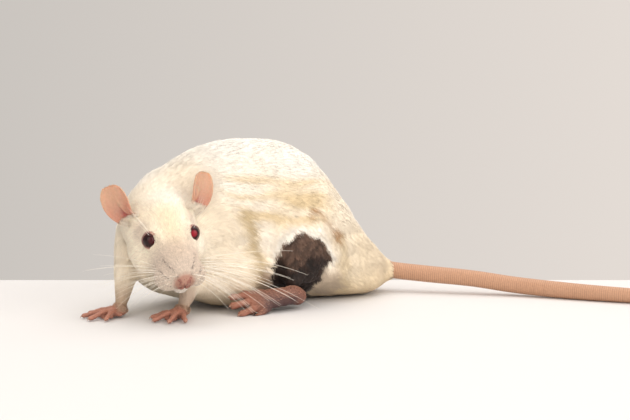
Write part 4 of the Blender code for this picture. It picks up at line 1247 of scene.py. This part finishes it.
centres = [drawn(*row[:3]) for row in rows]
body = bmesh.new()
length_so_far, rings, shades = 0.0, [], []
for index, (centre, row) in enumerate(zip(centres, rows)):
    travel = (centres[min(index + 1, TAIL_STEPS - 1)] - centres[max(index - 1, 0)]).normalized()
    across = travel.cross(UP).normalized()
    rise = across.cross(travel)
    length_so_far += (centre - centres[max(index - 1, 0)]).length
    ripple = abs(math.sin(math.pi * length_so_far / RING_SPACING)) ** 0.6
    radius = row[3] - 0.00010 + RING_HEIGHT * (ripple - 0.5)
    if index > TAIL_STEPS - TIP_STEPS:
        radius *= math.sqrt(max(0.02, 1 - ((index - TAIL_STEPS + TIP_STEPS) / TIP_STEPS) ** 2))
    ring = circle_at(centre, across, rise, radius, TAIL_SIDES)
    for place in ring:
        place.z = max(place.z, 0.0)
    rings.append([body.verts.new(place) for place in ring])
    shades += [ripple] * TAIL_SIDES
close_tube(body, rings)
bmesh.ops.recalc_face_normals(body, faces=body.faces)
tail = as_object("tail", body)
# Painted shade in the grooves between the rings.
colour_points(tail.data, mixed(TAIL_SKIN, TAIL_GROOVE, (1 - np.array(shades)) * 0.8))
tail_material = tinted("tail_skin", 0.5, 0.18, 0.0009, 0.8)
finished(tail, tail_material)
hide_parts("tail_1", "tail_2", "tail_3", "tail_4")

# Whiskers: long, pale, stiff hairs that taper, in five rows rooted in each side of the muzzle,
# and a few short ones over the eyes, that sweep out and back in shallow curves.
WHISKER_PALE = np.array((0.95, 0.90, 0.80))
BROW_LENGTH, BROW_THICKNESS = 0.014, 0.00008
draws = np.random.default_rng(77)
body = bmesh.new()
for spot, normal, side, row, place in whisker_roots:
    length = (0.018 + 0.0070 * place * draws.uniform(0.8, 1.2)) * (1.0 if side > 0 else 0.55)
    start_way = head_frame.inverted().to_3x3() @ normal
    ahead = 0.62 - 0.05 * place if side > 0 else -0.05 - 0.08 * place
    way = Vector((ahead, side * 1.0, 0.22 - 0.20 * row)).normalized()
    way = (way * 0.90 + start_way * 0.15 + Vector(draws.normal(0.0, 0.06, 3))).normalized()
    droop = Vector((-0.20, 0.0, -0.55 - 0.05 * row)) + Vector(draws.normal(0.0, 0.05, 3))
    line = []
    for t in np.linspace(0, 1, 12):
        offset = way * (length * t) + droop * (length * 0.5 * t * t)
        line.append(spot - normal * 0.0004 + head_axes @ offset)
    line = [Vector((p.x, p.y, max(p.z, 0.0006))) for p in line]
    thick = 0.00011 if side > 0 else 0.00007
    tube_in(body, line, [thick * (1 - 0.60 * t) for t in np.linspace(0, 1, 12)], 5)
for side in (1, -1):
    for number in range(4):
        start = mirrored(EYE_PLACE + Vector((0.001 - 0.0012 * number, 0.0005, 0.0052)), side)
        spot, normal = on_skin(start + Vector((0.0, 0.0, 0.02)), Vector((0.0, 0.0, -1.0)))
        way = Vector((-0.25 - 0.1 * number, side * 0.55, 0.8)).normalized()
        droop = Vector((-0.4, 0.1 * side, -0.2))
        line = []
        for t in np.linspace(0, 1, 9):
            offset = way * (BROW_LENGTH * t) + droop * (BROW_LENGTH * 0.5 * t * t)
            line.append(spot + head_axes @ offset)
        tube_in(body, line, [BROW_THICKNESS * (1 - 0.80 * t) for t in np.linspace(0, 1, 9)], 5)
bmesh.ops.recalc_face_normals(body, faces=body.faces)
whiskers = as_object("whiskers", body)
colour_points(whiskers.data, np.tile(WHISKER_PALE, (len(whiskers.data.vertices), 1)))
whisker_material = tinted("whisker_hair", 0.3, 0.06, 0.002, 0.0)
finished(whiskers, whisker_material)

# Down: the very short hair on the bare skin of the ears and paws, dense at the ears' roots and
# the wrists, where it hides the join with the coat, and thin on the backs of the ears and feet.
# Each tuft is one straight sliver set on the piece that it grows from.
DOWN_PALE = np.array((0.92, 0.83, 0.70))
CUFF_HEIGHTS = {"left": (0.0006, 0.0044), "right": (-0.0008, 0.0024)}
EAR_TUFTS, PAW_TUFTS = 4000, 2200


def down(name, piece, share, length, way, count, width, colours, axis, seed):
    """Straight tufts over a bare piece, by the share and the length at its points."""
    draws = np.random.default_rng(seed)
    mesh = piece.data
    mesh.calc_loop_triangles()
    corners = np.empty(len(mesh.loop_triangles) * 3, dtype=np.int32)
    mesh.loop_triangles.foreach_get("vertices", corners)
    corners = corners.reshape(-1, 3)
    places, outs = read_points(mesh), read_normals(mesh)
    one = places[corners[:, 1]] - places[corners[:, 0]]
    two = places[corners[:, 2]] - places[corners[:, 0]]
    shares = np.linalg.norm(np.cross(one, two), axis=1) * share[corners].mean(axis=1)
    pick = picked(draws, count, corners, shares)
    weights = draws.dirichlet((1.0, 1.0, 1.0), count)
    root = np.einsum("ij,ijk->ik", weights, places[pick])
    out = unit(np.einsum("ij,ijk->ik", weights, outs[pick]))
    reach = np.einsum("ij,ij->i", weights, length[pick]) * draws.uniform(0.75, 1.2, count)
    ahead = np.array(way) + draws.normal(0.0, 0.12, (count, 3))
    ahead = unit(ahead - out * np.sum(ahead * out, axis=1, keepdims=True))
    bend = root + ahead * (reach * 0.45)[:, None] + out * (reach * 0.16)[:, None]
    tip = bend + ahead * (reach * 0.55)[:, None] + out * (reach * 0.04)[:, None]
    half = unit(np.cross(out, ahead)) * (width / 2)
    top = bend + out * width * 0.35
    ring = np.stack((root - out * 0.0002, bend - half, bend + half, top, tip), axis=1)
    tone = np.einsum("ij,ijk->ik", weights, colours[pick])
    tone *= 1 + draws.normal(0.0, 0.05, (count, 1))
    tuft_piece(name, ring, np.clip(np.repeat(tone, 5, axis=0), 0.0, 0.98), unwrapped(root, *axis))


for side, name in ((1, "left"), (-1, "right")):
    ear = bpy.data.objects["earflap_" + name]
    near = in_head(read_points(ear.data))
    in_head_ways = read_normals(ear.data) @ to_head[:3, :3].T
    base = np.array(mirrored(EAR[1][:3], side))
    climb = unit(np.array(mirrored(EAR[6][:3], side)) - base)
    height = (near - base) @ climb
    low = fading(height, *CUFF_HEIGHTS[name])
    towards_tip = head_axes @ Vector(climb)
    paint = mixed(EAR_SKIN * 1.25, DOWN_PALE, 0.25 + 0.75 * low)
    share = 0.04 * (in_head_ways[:, 0] < -0.2) + low
    length = 0.0010 + 0.0024 * low
    axis = (head_frame @ Vector(base), towards_tip, forward)
    looks = (EAR_TUFTS, 0.00024, paint, axis, 50 + side)
    down("down_ear_" + name, ear, share, length, towards_tip, *looks)
for number, (node, (piece, placing, placed_back)) in enumerate(paws.items()):
    local = in_frame(read_points(piece.data), placed_back)
    top = bounded(read_normals(piece.data)[:, 2], -0.2, 0.5)
    hand = node.startswith("forepaw")
    wrist = 0.15 * top
    if hand:
        wrist = fading(local[:, 0], 0.0000, 0.0042) * bounded(local[:, 2], 0.0015, 0.0040)
    back = 0.10 * top * fading(local[:, 0], 0.008, 0.014)
    # The wrists' down takes the arms' colour, painted shade included.
    paint = mixed(HAND_SKIN * 1.6, ARM_SHADE * 1.5, 0.3 + 0.7 * np.minimum(wrist, 1.0))
    length = 0.0009 + 0.0012 * np.minimum(wrist, 1.0) * hand
    fingers = placing.to_3x3() @ Vector((1.0, 0.0, -0.25))
    axis = (placing.translation, fingers, UP)
    looks = (PAW_TUFTS, 0.00020, paint, axis, 60 + number)
    down("down_" + node, piece, wrist + back, length, fingers, *looks)

# Floor and backdrop: a plain white table top whose far edge rolls over behind the rat, in
# front of a pale wall that grows lighter and warmer to the right, under three soft lamps.
EDGE_ROUNDING, EDGE_AWAY, TABLE_DROP = 0.02, 0.085, 0.0002
sweep = bmesh.new()
profile = [(-1.5, 0.0)]
for turn in np.linspace(0, math.pi / 2, 12):
    reach, fall = EDGE_ROUNDING * math.sin(turn), EDGE_ROUNDING * math.cos(turn) - EDGE_ROUNDING
    profile.append((EDGE_AWAY + reach, fall))
profile.append((EDGE_AWAY + EDGE_ROUNDING, -0.5))
away = Vector((0.5763, 0.8173, 0.0))
across = Vector((away.y, -away.x, 0.0))
rows = []
for x in (-1.2, 1.2):
    row = [away * y + across * x + UP * (z - TABLE_DROP) for y, z in profile]
    rows.append([sweep.verts.new(place) for place in row])
for index in range(len(profile) - 1):
    sweep.faces.new((rows[0][index], rows[1][index], rows[1][index + 1], rows[0][index + 1]))
floor = as_object("floor", sweep)
floor.data.shade_smooth()
paper = bpy.data.materials.new("paper")
paper.use_nodes = True
shader = paper.node_tree.nodes["Principled BSDF"]
shader.inputs["Base Color"].default_value = (0.76, 0.76, 0.765, 1.0)
shader.inputs["Roughness"].default_value = 0.75
floor.data.materials.append(paper)


def light(name, place, target, size, power, colour):
    lamp = bpy.data.lights.new(name, "AREA")
    lamp.size = size
    lamp.energy = power
    lamp.color = colour
    holder = bpy.data.objects.new(name, lamp)
    holder.location = place
    holder.rotation_mode = "QUATERNION"
    holder.rotation_quaternion = (Vector(place) - Vector(target)).to_track_quat("Z", "Y")
    bpy.context.scene.collection.objects.link(holder)


light("key", (0.12, 0.20, 0.88), (-0.02, 0.0, 0.03), 1.1, 5.9, (1.0, 0.95, 0.90))
light("fill", (0.28, -0.85, 0.42), (-0.02, 0.0, 0.03), 0.9, 5.2, (1.0, 0.94, 0.88))
light("side", (-0.75, -0.50, 0.40), (-0.08, 0.0, 0.03), 0.8, 2.7, (1.0, 0.93, 0.87))
world = bpy.data.worlds.new("studio")
world.use_nodes = True
nodes, links = world.node_tree.nodes, world.node_tree.links
place = nodes.new("ShaderNodeTexCoord")
across_wall = nodes.new("ShaderNodeVectorMath")
across_wall.operation = "DOT_PRODUCT"
across_wall.inputs[1].default_value = across
links.new(place.outputs["Generated"], across_wall.inputs[0])
ramp = nodes.new("ShaderNodeMapRange")
ramp.inputs["From Min"].default_value = -0.22
ramp.inputs["From Max"].default_value = 0.20
links.new(across_wall.outputs["Value"], ramp.inputs["Value"])
wall = nodes.new("ShaderNodeValToRGB")
wall.color_ramp.elements[0].color = (0.59, 0.555, 0.52, 1.0)
wall.color_ramp.elements[1].color = (0.77, 0.71, 0.66, 1.0)
links.new(ramp.outputs["Result"], wall.inputs["Fac"])
links.new(wall.outputs["Color"], nodes["Background"].inputs["Color"])
bpy.context.scene.world = world
bpy.context.scene.view_settings.view_transform = "Standard"

camera = bpy.data.objects.new("camera", bpy.data.cameras.new("camera"))
camera.data.lens = 85.0
camera.data.sensor_width = 36.0
camera.data.clip_start = 0.02
camera.location = Vector((-0.48216, -0.59113, 0.13184))
turn, dip = math.radians(-35.1886), math.radians(6.1586)
aim = Vector((-math.sin(turn) * math.cos(dip), math.cos(turn) * math.cos(dip), -math.sin(dip)))
camera.rotation_mode = "QUATERNION"
camera.rotation_quaternion = aim.to_track_quat("-Z", "Y")
bpy.context.scene.collection.objects.link(camera)
bpy.context.scene.camera = camera
